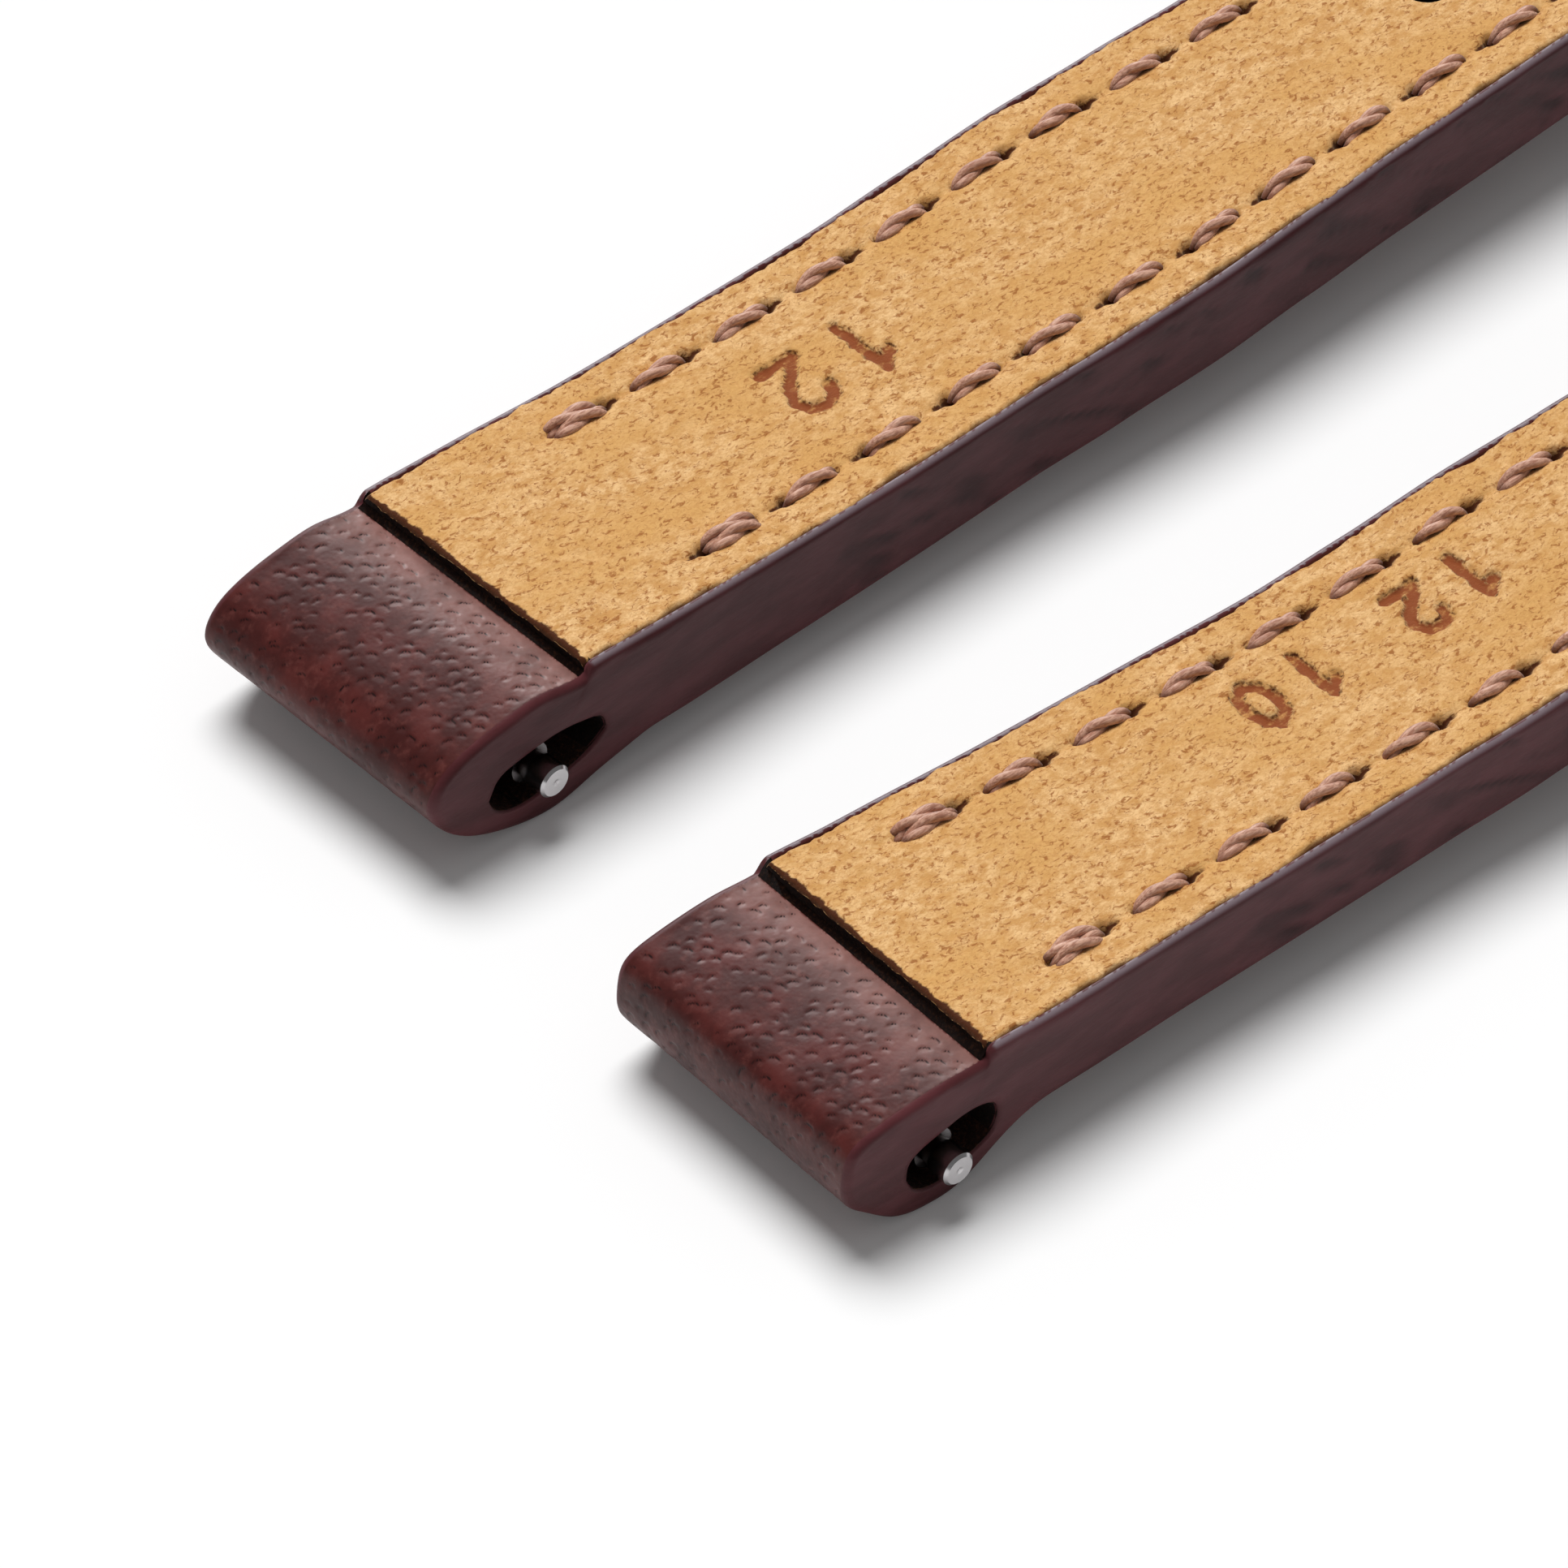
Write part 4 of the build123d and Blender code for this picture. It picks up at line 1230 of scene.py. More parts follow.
    def edge_line(self) -> tuple[np.ndarray, np.ndarray, int, int]:
        """Outline of the lug end from the top round the loop to the underside.

        Returns:
            Its points, their inward normals, and the numbers of the first points of the loop and
            of the step.
        """
        half = self.half
        start = half.neck + self.split
        over = np.arange(start, half.step + self.corner + 0.01, -self.pitch)
        over = np.append(over[:-1], half.step + self.corner)
        upper = np.stack([over, half.top(over)], axis=1)
        peak = float(half.top(half.step + self.corner))
        turn = np.linspace(QUARTER, math.pi, 6)[1:]
        round_corner = np.stack([
            half.step + self.corner * (1 + np.cos(turn)),
            peak - self.corner * (1 - np.sin(turn)),
        ], axis=1)
        loop = half.loop_line(self.fine)
        foot = np.array([[half.step, loop[0, 1] + self.foot_gap]])
        wall = np.concatenate([round_corner, foot])
        below = np.append(np.arange(half.neck, start, self.under_pitch)[1:], start)
        lower = np.stack([below, half.under(below)], axis=1)
        line = np.concatenate([upper, wall, loop, lower])
        normals = np.zeros(line.shape)
        a, b, c = len(upper), len(upper) + len(wall), len(upper) + len(wall) + len(loop)
        normals[:a] = 0, -1
        normals[a:b - 1] = np.stack([-np.cos(turn), -np.sin(turn)], axis=1)
        normals[b - 1] = 1, 0
        normals[b:c] = inward(loop)
        normals[b] = 0, -1
        fade = np.linspace(0, 1, self.blend)[:, None]
        blended = slice(c - self.blend, c)
        normals[blended] = normals[blended] * (1 - fade) + np.array([0, 1]) * fade
        normals[c:] = 0, 1
        normals /= np.linalg.norm(normals, axis=1)[:, None]
        first, last = line[a - 1] - (0, self.rim), line[b] - (0, self.rim)
        share = (np.arange(a, b) - a + 1)[:, None] / (b - a + 1)
        normals[a:b] = (first + (last - first) * share - line[a:b]) / self.rim
        return line, normals, b, a

    def rounding(self) -> tuple[np.ndarray, np.ndarray]:
        """Steps of the rounded rim.

        Returns:
            How far in and how far out each step lies.
        """
        turn = np.linspace(0, QUARTER, self.quarter_steps + 1)
        return self.rim * (1 - np.cos(turn)), self.rim * np.sin(turn)

    def pores(
        self, line: np.ndarray, across: np.ndarray, seed: int
    ) -> tuple[np.ndarray, np.ndarray]:
        """Crescent-shaped pores in slanting rows over a strip of grain leather.

        Args:
            line: Side view of the strip.
            across: Places across, one row for each point of the line.
            seed: Which scatter.

        Returns:
            Depth in millimetres, and darkness from 0 to 1 that paints shade on each pore's far wall,
            for each point of the strip.
        """
        rng = np.random.default_rng(seed)
        length = travelled(line)
        depth = np.zeros(across.shape)
        dark = np.zeros(across.shape)
        s_grid = np.repeat(length[:, None], across.shape[1], axis=1)
        pitch = self.pore_spacing
        for row, s in enumerate(np.arange(-2, length[-1] + 2, pitch * 0.8)):
            for y in np.arange(-self.pore_reach, self.pore_reach, pitch) + (row % 2) * pitch / 2:
                if rng.random() < self.pore_gaps:
                    continue
                at_s = s + rng.normal(0, 0.11) + 0.25 * y / 6
                at_y = y + rng.normal(0, 0.12)
                size = self.pore_radius * rng.uniform(0.65, 1.2)
                first, last = np.searchsorted(length, (at_s - 2 * size, at_s + 2 * size))
                if first >= last:
                    continue
                ds = s_grid[first:last] - at_s
                dy = across[first:last] - at_y
                turn = math.radians(self.pore_slant + rng.normal(0, 16))
                u = ds * math.cos(turn) + dy * math.sin(turn)
                w = (-ds * math.sin(turn) + dy * math.cos(turn)) * 0.72
                away = np.hypot(u, w) / size
                inside = np.clip((1.15 - away) / 0.3, 0, 1)
                slope = np.clip((u / size + 1) / 2, 0, 1) ** 1.5
                depth[first:last] = np.maximum(depth[first:last], self.pore_depth * inside * slope)
                # The dark arc on each pore's far wall is painted shade.
                arc = np.clip(1 - abs(away - 0.85) / 0.35, 0, 1) * np.clip(u / size * 1.6, 0, 1)
                dark[first:last] = np.maximum(dark[first:last], arc)
        return depth, dark

    def wrap(
        self, work: Patchwork, line: np.ndarray, normals: np.ndarray, columns: int, seed: int,
        pored: bool,
    ) -> np.ndarray:
        """Adds a strip of grain leather across the half.

        Args:
            work: Where the faces go.
            line: Side view of the strip.
            normals: Its inward normals.
            columns: Points across.
            seed: Which pores.
            pored: Whether the pores are cut into the mesh.

        Returns:
            The strip's points.
        """
        base = self.half.base(line[:, 0], self.rim)
        shares = np.linspace(1, -1, columns)
        across = base[:, None] * shares[None]
        flat = np.stack([
            np.repeat(line[:, :1], columns, 1), across, np.repeat(line[:, 1:], columns, 1),
        ], axis=-1)
        if pored:
            depth, dark = self.pores(line, across, seed)
        else:
            depth, dark = np.zeros(across.shape), np.zeros(across.shape)
        place = flat.reshape(-1, 3)
        swell = self.swell_height * noise(place, self.swell_size, seed)
        swell = swell + self.pebble_height * noise(place, self.pebble_size, seed + 1)
        depth = depth - swell.reshape(across.shape)
        edge = np.clip((1 - abs(shares)) * self.half.wide / 2 / self.edge_fade, 0, 1)
        number = np.arange(len(line))
        ends = np.clip(np.minimum(number, number[::-1]) / 4, 0, 1)
        fade = edge[None] * ends[:, None]
        moved = flat.copy()
        moved[..., 0] += normals[:, :1] * depth * fade
        moved[..., 2] += normals[:, 1:] * depth * fade
        # Painted sheen: the upper half of the loop, towards the step, is lightened where the light
        # falls on it.
        rub = np.clip((line[:, :1] + 1.6) / 3.2, 0, 1) ** 1.5
        rub = rub * (line[:, 1:] > self.half.loop_height / 2)
        rub = rub * (line[:, :1] < self.half.neck)
        work.grid(moved, Skin.GRAIN, pore=dark * fade, rub=np.repeat(rub, columns, 1))
        return moved

    def lug_side(
        self, work: Patchwork, line: np.ndarray, normals: np.ndarray, hole: np.ndarray, side: int
    ) -> None:
        """Adds one painted side of a rounded end with a tunnel through it.

        Args:
            work: Where the faces go.
            line: Outline of the end, without the straight cut that closes it.
            normals: Its inward normals.
            hole: Outline of the tunnel.
            side: Which side, 1 or -1.
        """
        within, outward = self.rounding()
        inner = line[:, None] + normals[:, None] * within[None, :, None]
        width = self.half.half_width(inner[..., 0]) - self.rim
        behind = np.clip((line[:, :1] - self.half.step) / 0.3, 0, 1)
        # Painted highlight on the top edge, behind the step.
        crest = np.clip(1 - within / self.rim, 0, 1)[None]
        crest = crest * np.clip(-normals[:, 1:], 0, 1) * behind
        rim = np.stack([inner[..., 0], side * (width + outward[None]), inner[..., 1]], axis=-1)
        relief = self.side_relief(inner[:, -1:, 0], inner[:, -1:, 1], side)[0]
        rim[:, -1:, 1] += side * relief
        work.grid(rim, Skin.PAINT, crest=crest)
        ring = inner[:, -1]
        rise = np.linspace(ring[-1, 1], ring[0, 1], self.wall_steps + 1)[1:-1]
        closing = np.stack([np.full(len(rise), ring[0, 0]), rise], axis=1)
        outer = np.concatenate([ring, closing])
        centre = (hole.min(axis=0) + hole.max(axis=0)) / 2
        angle = np.unwrap(np.arctan2(outer[:, 1] - centre[1], outer[:, 0] - centre[0]))
        if angle[-1] > angle[0]:
            angle = np.maximum.accumulate(angle)
        else:
            angle = np.minimum.accumulate(angle)
        hole_angle = np.arctan2(hole[:, 1] - centre[1], hole[:, 0] - centre[0])
        order = np.argsort(hole_angle)
        once = hole_angle[order]
        a = np.concatenate([once - 2 * math.pi, once, once + 2 * math.pi])
        r = np.tile(np.hypot(*(hole[order] - centre).T), 3)
        reach = np.interp((angle + math.pi) % (2 * math.pi) - math.pi, a, r)
        ray = np.stack([np.cos(angle), np.sin(angle)], axis=1)
        mouth = centre + ray * (reach + self.mouth_width)[:, None]
        lip = centre + ray * reach[:, None]
        shares = np.linspace(0, 1, self.ring_steps)[:, None, None]
        flat = outer[None] * (1 - shares) + mouth[None] * shares
        out = self.half.half_width(flat[..., 0])
        relief, pits = self.side_relief(flat[..., 0], flat[..., 1], side)
        proud = self.mouth_lip * shares[..., 0]
        rows = np.stack([flat[..., 0], side * (out + relief + proud), flat[..., 1]], axis=-1)
        work.grid(rows, Skin.PAINT, wrap=True, pit=pits)
        width = self.half.half_width(lip[:, 0])
        inside = np.stack([
            rows[-1],
            np.stack([lip[:, 0], side * (width - self.mouth_depth), lip[:, 1]], axis=1),
        ])
        work.grid(inside, Skin.PAINT, wrap=True)
        middle = np.stack([lip[:, 0], np.zeros(len(lip)), lip[:, 1]], axis=1)
        steps = np.linspace(0, 1, self.bore_rows)[:, None, None]
        work.grid(inside[1][None] * (1 - steps) + middle[None] * steps, Skin.INSIDE, wrap=True)

    def long_side(self, work: Patchwork, side: int) -> None:
        """Adds the painted side between the lug end and the far end.

        Args:
            work: Where the faces go.
            side: Which side, 1 or -1.
        """
        half = self.half
        x = self.columns()
        within, outward = self.rounding()
        low, high = half.under(x), half.top(x)
        wall = np.linspace(0, 1, self.wall_steps + 1)[1:-1]
        z = np.concatenate([
            low[:, None] + within[None],
            (low + self.rim)[:, None] + (high - low - 2 * self.rim)[:, None] * wall[None],
            high[:, None] - within[None, ::-1],
        ], axis=1)
        out = np.concatenate([outward, np.full(len(wall), self.rim), outward[::-1]])
        base = half.base(x, self.rim)
        normal = np.zeros((len(x), 2))
        normal[:, 1] = 1
        if half.tip_length:
            shoulder = half.end - half.tip_length
            tip = x > shoulder
            long_axis = half.tip_length - self.rim
            wide_axis = float(half.half_width(half.end)) - self.rim
            normal[tip] = np.stack([
                (x[tip] - shoulder) / long_axis ** 2, base[tip] / wide_axis ** 2,
            ], axis=1)
            normal[-1] = 1, 0
            normal /= np.linalg.norm(normal, axis=1)[:, None]
        relief, pits = self.side_relief(np.repeat(x[:, None], z.shape[1], 1), z, side)
        full = (out >= self.rim - 1e-9)[None]
        fade = np.ones((len(x), 1))
        if half.tip_length:
            fade = np.clip((half.end - 0.6 - x) / 2, 0, 1)[:, None]
        reach = out[None] + relief * full * fade
        rows = np.stack([
            x[:, None] + normal[:, :1] * reach,
            side * (base[:, None] + normal[:, 1:] * reach),
            z,
        ], axis=-1)
        # Painted highlight along the top rounded edge.
        crest = np.zeros(z.shape)
        crest[:, -len(within):] = np.clip(1 - within[::-1] / self.rim, 0, 1)[None]
        work.grid(rows, Skin.PAINT, pit=pits * full, crest=crest)

    def bed(self, work: Patchwork, x: np.ndarray) -> np.ndarray:
        """Adds the lips and the bed that the lining lies in.

        Args:
            work: Where the faces go.
            x: Places along the half.

        Returns:
            The bed's points, from the left lip to the right one.
        """
        base = self.half.base(x, self.rim)
        top = self.half.top(x)
        steps = ((0.0, 0.0), (0.05, 0.06), (0.11, 0.3), (self.lip, 0.9))
        left = [(np.maximum(base - inner, 0.0), top - down) for inner, down in steps]
        sides = left + [(-y, z) for y, z in left[::-1]]
        rows = np.stack([np.stack([x, y, z], axis=1) for y, z in sides], axis=1)
        work.grid(rows, Skin.PAINT, flip=True)
        return rows

    def build(self) -> Object:
        """Builds the closed body.

        Returns:
            The piece, with its holes or its slot still to be cut.
        """
        half = self.half
        work = Patchwork()
        line, normals, loop_start, step_start = self.edge_line()
        x = self.columns()
        columns = int(2 * half.half_width(0) / self.fine)
        pored = slice(loop_start, len(line))
        front = self.wrap(work, line[pored], normals[pored], columns, 21, True)
        below = np.stack([x, half.under(x)], axis=1)
        upward = np.tile((0.0, 1.0), (len(x), 1))
        over = line[:step_start, 0][::-1]
        self.wrap(work, below, upward, columns, 31, False)
        if half.tip_length:
            bed = self.bed(work, np.concatenate([over, x[1:]]))
        else:
            fold, fold_normals = self.fold_line(x[-1])
            self.wrap(work, fold, fold_normals, columns, 41, True)
            bed_end = half.lining_end + half.step_gap
            top_x = np.concatenate([over, x[1:]])
            top_x = top_x[top_x < bed_end]
            bed = self.bed(work, top_x)
            rest = np.concatenate([[top_x[-1]], x[x > top_x[-1]]])
            upper = np.stack([rest, half.top(rest)], axis=1)
            downward = np.tile((0.0, -1.0), (len(rest), 1))
            after = self.wrap(work, upper, downward, columns, 51, False)
            work.sheet(np.concatenate([bed[-1], after[0][::-1][1:-1]]), Skin.PAINT)
            for side in Side:
                turn = np.linspace(0, 2 * math.pi, self.bore_steps, endpoint=False)
                hole = np.stack([
                    half.end + self.bar_tunnel * np.cos(turn),
                    self.fold_height() + self.bar_tunnel * np.sin(turn),
                ], axis=1)
                self.lug_side(work, fold, fold_normals, hole, side)
        for side in Side:
            self.lug_side(work, line, normals, half.tunnel_line(self.tunnel_pitch), side)
            self.long_side(work, side)
        corner = line[step_start:loop_start]
        width = half.base(corner[:, 0], self.rim)
        right = np.stack([corner[:, 0], -width, corner[:, 1]], axis=1)[::-1]
        left = np.stack([corner[:, 0], width, corner[:, 1]], axis=1)
        # The wall over the loop takes the near-black finish: painted shade of the gap under the
        # lining's front edge.
        work.sheet(np.concatenate([front[0], right, bed[0][::-1], left]), Skin.INSIDE)
        return work.mesh(f"{half.name}_leather", half, (self.grain, self.paint, self.inside))

    def fold_height(self) -> float:
        """Height of the buckle bar over the table."""
        return float(self.half.under(self.half.end)) + self.fold_radius

    def fold_line(self, start: float) -> tuple[np.ndarray, np.ndarray]:
        """Outline of the fold round the buckle bar, from the underside to the top.

        Args:
            start: Where the fold's own part of the side begins.

        Returns:
            Its points and their inward normals.
        """
        half = self.half
        below = np.arange(start, half.end - 0.05, self.pitch)
        lower = np.stack([below, half.under(below)], axis=1)
        turn = np.linspace(-QUARTER, QUARTER, self.fold_steps)
        centre = np.array([half.end, self.fold_height()])
        round_end = centre + self.fold_radius * np.stack([np.cos(turn), np.sin(turn)], axis=1)
        upper = np.stack([below[::-1], half.top(below[::-1])], axis=1)
        line = np.concatenate([lower, round_end, upper])
        normals = np.concatenate([
            np.tile((0.0, 1.0), (len(lower), 1)),
            -np.stack([np.cos(turn), np.sin(turn)], axis=1),
            np.tile((0.0, -1.0), (len(upper), 1)),
        ])
        return line, normals


@dataclass(frozen=True)
class Mark:
    """Plain numerals burnt into the lining: widths in millimetres, to be read from the buckle end.

    Attributes:
        digits: The numerals, with a space between two numbers.
        centre: Their middle, in the half's frame.
        height: Height of a digit.
        gap: Gap between digits, as a share of the height.
        digit_width: Width of a digit, as a share of the height.
        stroke: Half the width of a burnt stroke.
        depth: Depth of a stroke.
        far: Distance given for a place that is nowhere near a stroke.
        SHAPES: The digits' strokes, as shares of the height.
    """

    digits: str
    centre: tuple[float, float]
    height: float
    gap: float = 0.55
    digit_width: float = 0.6
    stroke: float = 0.24
    depth: float = 0.2
    far: float = 9.0

    SHAPES = {
        "0": (
            (0.3, 1), (0.08, 0.85), (0, 0.5), (0.08, 0.15), (0.3, 0), (0.52, 0.15), (0.6, 0.5),
            (0.52, 0.85), (0.3, 1),
        ),
        "1": ((0.08, 0.76), (0.34, 1), (0.34, 0)),
        "2": (
            (0, 0.74), (0.08, 0.93), (0.3, 1), (0.52, 0.93), (0.6, 0.72), (0.5, 0.5), (0, 0),
            (0.62, 0),
        ),
    }

    def lines(self) -> Iterable[np.ndarray]:
        """Goes through the digits.

        Returns:
            The stroke line of each digit, in the half's frame.
        """
        pitch = (self.digit_width + self.gap) * self.height
        first = self.centre[0] - (len(self.digits) - 1) * pitch / 2
        start = first - self.digit_width / 2 * self.height
        for number, digit in enumerate(self.digits):
            if digit in self.SHAPES:
                shape = np.array(self.SHAPES[digit], float) * self.height
                shape += (start + number * pitch, self.centre[1] - self.height / 2)
                yield 2 * np.array(self.centre) - shape

    def distance(self, x: np.ndarray, y: np.ndarray) -> np.ndarray:
        """Distance from each place to the nearest stroke.

        Args:
            x: Places along.
            y: Places across.

        Returns:
            The distances in millimetres.
        """
        best = np.full(x.shape, self.far)
        for line in self.lines():
            for a, b in zip(line[:-1], line[1:]):
                run = b - a
                t = np.clip(((x - a[0]) * run[0] + (y - a[1]) * run[1]) / (run @ run), 0, 1)
                best = np.minimum(best, np.hypot(x - a[0] - t * run[0], y - a[1] - t * run[1]))
        return best


@dataclass(frozen=True)
class Lining:
    """The suede lining of a half: a soft slab with needle holes, slits and its burnt-in width.

    Attributes:
        half: The half.
        suede: Finish of the nap.
        edge: Finish of the cut ends, near black, partly as painted shade.
        mark: The numerals.
        inset: How far inside the half's side the suede ends.
        proud: How far the nap stands over the leather's lip.
        fine: Distance between points in the part that the photograph shows, and across.
        coarse: The same beyond it.
        seen: Where the photograph's part ends.
        tip_steps: Points round the tip.
        thickness: Thickness of the suede.
        wall_inset: How far inside the half's side the slab's own sides stand.
        wall_height: How high they stand.
        hole_radius: Radius of a needle hole.
        hole_depth: Its depth.
        hole_place: Where it lies, from the start of its stitch.
        front_place: Where the thread comes up, from the start of its stitch.
        front_depth: Depth of the dip there.
        slit_start: Where the slit behind the stitch starts, from the start of its stitch.
        slit_end: Where it ends.
        slit_depth: Its depth.
        slit_width: Half its width.
        bed_width: Half the width of the groove that a stitch presses.
        double_width: The same under a doubled stitch.
        bed_depth: Depth of that groove.
        draw_width: How far to each side a stitch draws the suede down.
        draw_depth: How far down.
        roll_width: Width of the rolled border.
        roll_depth: How far down it rolls.
    """

    half: Half
    suede: Material
    edge: Material
    mark: Mark
    inset: float = 0.32
    proud: float = 0.06
    fine: float = 0.1
    coarse: float = 0.25
    seen: float = 52.0
    tip_steps: int = 40
    thickness: float = 0.97
    wall_inset: float = 0.46
    wall_height: float = 0.5
    hole_radius: float = 0.26
    hole_depth: float = 0.5
    hole_place: float = 3.14
    front_place: float = 0.72
    front_depth: float = 0.25
    slit_start: float = 3.1
    slit_end: float = 4.15
    slit_depth: float = 0.16
    slit_width: float = 0.13
    bed_width: float = 0.34
    double_width: float = 0.5
    bed_depth: float = 0.14
    draw_width: float = 0.75
    draw_depth: float = 0.1
    roll_width: float = 0.16
    roll_depth: float = 0.18

    def stations(self) -> np.ndarray:
        """Places along the half where the slab has a ring of points.

        Returns:
            The places, from the straight front edge to the far end.
        """
        half = self.half
        start = half.step
        first = start + np.array([0.0, 0.015, 0.04, 0.08])
        if half.tip_length:
            shoulder = half.end - half.tip_length
            turn = np.linspace(0, QUARTER, self.tip_steps)
            last = shoulder + (half.tip_length - self.inset) * np.sin(turn)
            end = shoulder
        else:
            last = half.lining_end - np.array([0.08, 0.03, 0.0])
            end = half.lining_end - 0.15
        near = np.arange(start + 0.15, min(self.seen, end), self.fine)
        far = np.arange(near[-1] + self.coarse, end, self.coarse)
        return np.concatenate([first, near, far, last])

    def border(self, x: np.ndarray, side: int) -> np.ndarray:
        """Where the suede ends over the lip, a little uneven.

        Args:
            x: Places along the half.
            side: Which side, 1 or -1.

        Returns:
            Distance from the middle at each place.
        """
        places = np.stack([x, np.full(len(x), side * 3.1)], axis=1)
        waves = ((0.13, 2.4, 7), (0.07, 0.8, 8), (0.05, 0.25, 9))
        wave = sum(height * noise(places, size, seed) for height, size, seed in waves)
        calm = np.clip((self.half.end - 1.2 - x) / 2, 0, 1) if self.half.tip_length else 1.0
        return np.maximum(self.half.base(x, self.inset) + wave * calm, 0.0)

    def relief(self, x: np.ndarray, y: np.ndarray, depth: np.ndarray) -> tuple[np.ndarray, ...]:
        """Dips and stains of the surface.

        Args:
            x: Places along.
            y: Places across.
            depth: Distance from the border at each place.

        Returns:
            How far each place is sunk, how dark it is from real burn marks and from painted shade in
            holes, slits and grooves, and how burnt it is.
        """
        place = np.stack([x.ravel(), y.ravel()], axis=1)
        waves = ((0.03, 0.9, 12), (0.022, 0.34, 13), (0.02, 0.16, 14))
        sunk = sum(height * noise(place, size, seed) for height, size, seed in waves)
        sunk = sunk.reshape(x.shape)
        stain = np.zeros(x.shape)
        for start, end, doubled in self.half.stitches():
            run = end - start
            length = float(np.hypot(*run))
            along = run / length
            reach = (min(start[0], end[0]) - 0.9, max(start[0], end[0]) + 0.9)
            first, last = np.searchsorted(x[:, 0], reach)
            if first >= last:
                continue
            dx, dy = x[first:last] - start[0], y[first:last] - start[1]
            s = dx * along[0] + dy * along[1]
            d = abs(-dx * along[1] + dy * along[0])
            wide = self.double_width if doubled else self.bed_width
            body = np.clip(1 - d / wide, 0, 1)
            body = body * np.clip((s - 0.55) / 0.25, 0, 1) * np.clip((3.3 - s) / 0.2, 0, 1)
            from_hole = np.hypot((s - self.hole_place) * 0.8, d)
            hole = np.clip(1.35 - from_hole / self.hole_radius, 0, 1)
            from_front = np.hypot(s - self.front_place, d)
            front = np.clip(1.1 - from_front / (self.hole_radius * 0.8), 0, 1)
            slit = np.clip(1.4 - d / self.slit_width, 0, 1)
            slit = slit * np.clip((s - self.slit_start) / 0.2, 0, 1)
            slit = slit * np.clip((self.slit_end - s) / 0.5, 0, 1)
            draw = np.clip(1 - d / self.draw_width, 0, 1) ** 2 * self.draw_depth
            dip = np.maximum.reduce([
                self.hole_depth * hole, self.front_depth * front, self.slit_depth * slit,
                self.bed_depth * body,
            ]) + draw
            dip *= np.clip((s + 0.4) / 0.4, 0, 1) * np.clip((4.3 - s) / 0.4, 0, 1)
            sunk[first:last] = np.maximum(sunk[first:last], dip + 0.3 * sunk[first:last])
            # Needle holes, slits and grooves are darkened: painted shade.
            mark = np.maximum.reduce([hole, 0.75 * front, 0.8 * slit, 0.5 * body])
            stain[first:last] = np.maximum(stain[first:last], mark)
        rough = 0.07 * noise(place, 0.34, 15) + 0.05 * noise(place, 0.13, 16)
        away = self.mark.distance(x, y) + rough.reshape(x.shape)
        stroke = np.clip((self.mark.stroke + 0.06 - away) / 0.1, 0, 1)
        ring = np.clip(1 - abs(away - self.mark.stroke) / 0.12, 0, 1)
        sunk += self.mark.depth * stroke
        stain = np.maximum(stain, 0.6 * ring)
        roll = np.clip(1 - depth / self.roll_width, 0, 1) ** 2 * self.roll_depth
        return sunk + roll, stain, stroke

    def build(self) -> Object:
        """Builds the slab.

        Returns:
            The piece, with its holes still to be cut.
        """
        half = self.half
        x = self.stations()
        columns = int(2 * half.half_width(0) / self.fine)
        dense = np.sin(np.linspace(QUARTER, -QUARTER, columns))
        shares = dense * 0.25 + np.linspace(1, -1, columns) * 0.75
        left, right = self.border(x, Side.LEFT), self.border(x, Side.RIGHT)
        y = np.where(shares > 0, left[:, None] * shares, right[:, None] * shares)
        rows = np.repeat(x[:, None], columns, 1)
        depth = (1 - abs(shares))[None] * np.where(shares > 0, left[:, None], right[:, None])
        sunk, stain, burn = self.relief(rows, y, depth)
        nose = np.clip(1 - (x - half.step) / 0.09, 0, 1) ** 2
        jag = noise(np.stack([y.ravel(), np.zeros(y.size)], axis=1), 0.22, 17).reshape(y.shape)
        sunk = sunk + 0.12 * nose[:, None] * (1 + 0.5 * jag)
        # The front edge darkens over a fuzzy band: partly the edge's own dark, partly painted shade of
        # the gap at the step.
        fuzz = np.clip(1 - (rows - half.step) / (0.3 + 0.12 * jag), 0, 1)
        tail = np.zeros(rows.shape)
        if not half.tip_length:
            tail = np.clip(1 - (half.lining_end - rows) / 0.25, 0, 1)
        stain = np.maximum(stain, np.maximum(1.2 * fuzz, tail))
        z = half.top(x)[:, None] + self.proud - sunk
        bottom = half.top(x) - self.thickness
        low = np.minimum(bottom + self.wall_height, z[:, 0])
        within = half.base(x, self.wall_inset)
        wall_left = np.stack([x, np.maximum(np.minimum(left, within), 0.4 * left), low], axis=1)
        wall_right = np.stack([x, -np.maximum(np.minimum(right, within), 0.4 * right), low], axis=1)
        floor_left, floor_right = wall_left.copy(), wall_right.copy()
        floor_left[:, 2] = floor_right[:, 2] = bottom
        top = np.stack([rows, y, z], axis=-1)
        ring = np.concatenate([
            floor_left[:, None], wall_left[:, None], top, wall_right[:, None], floor_right[:, None],
        ], axis=1)
        pad = ((0, 0), (2, 2))
        work = Patchwork()
        work.grid(ring, 0, wrap=True, stain=np.pad(stain, pad), burn=np.pad(burn, pad))
        work.sheet(ring[0], 1)
        if not half.tip_length:
            work.sheet(ring[-1], 1)
        return work.mesh(f"{half.name}_suede", half, (self.suede, self.edge))


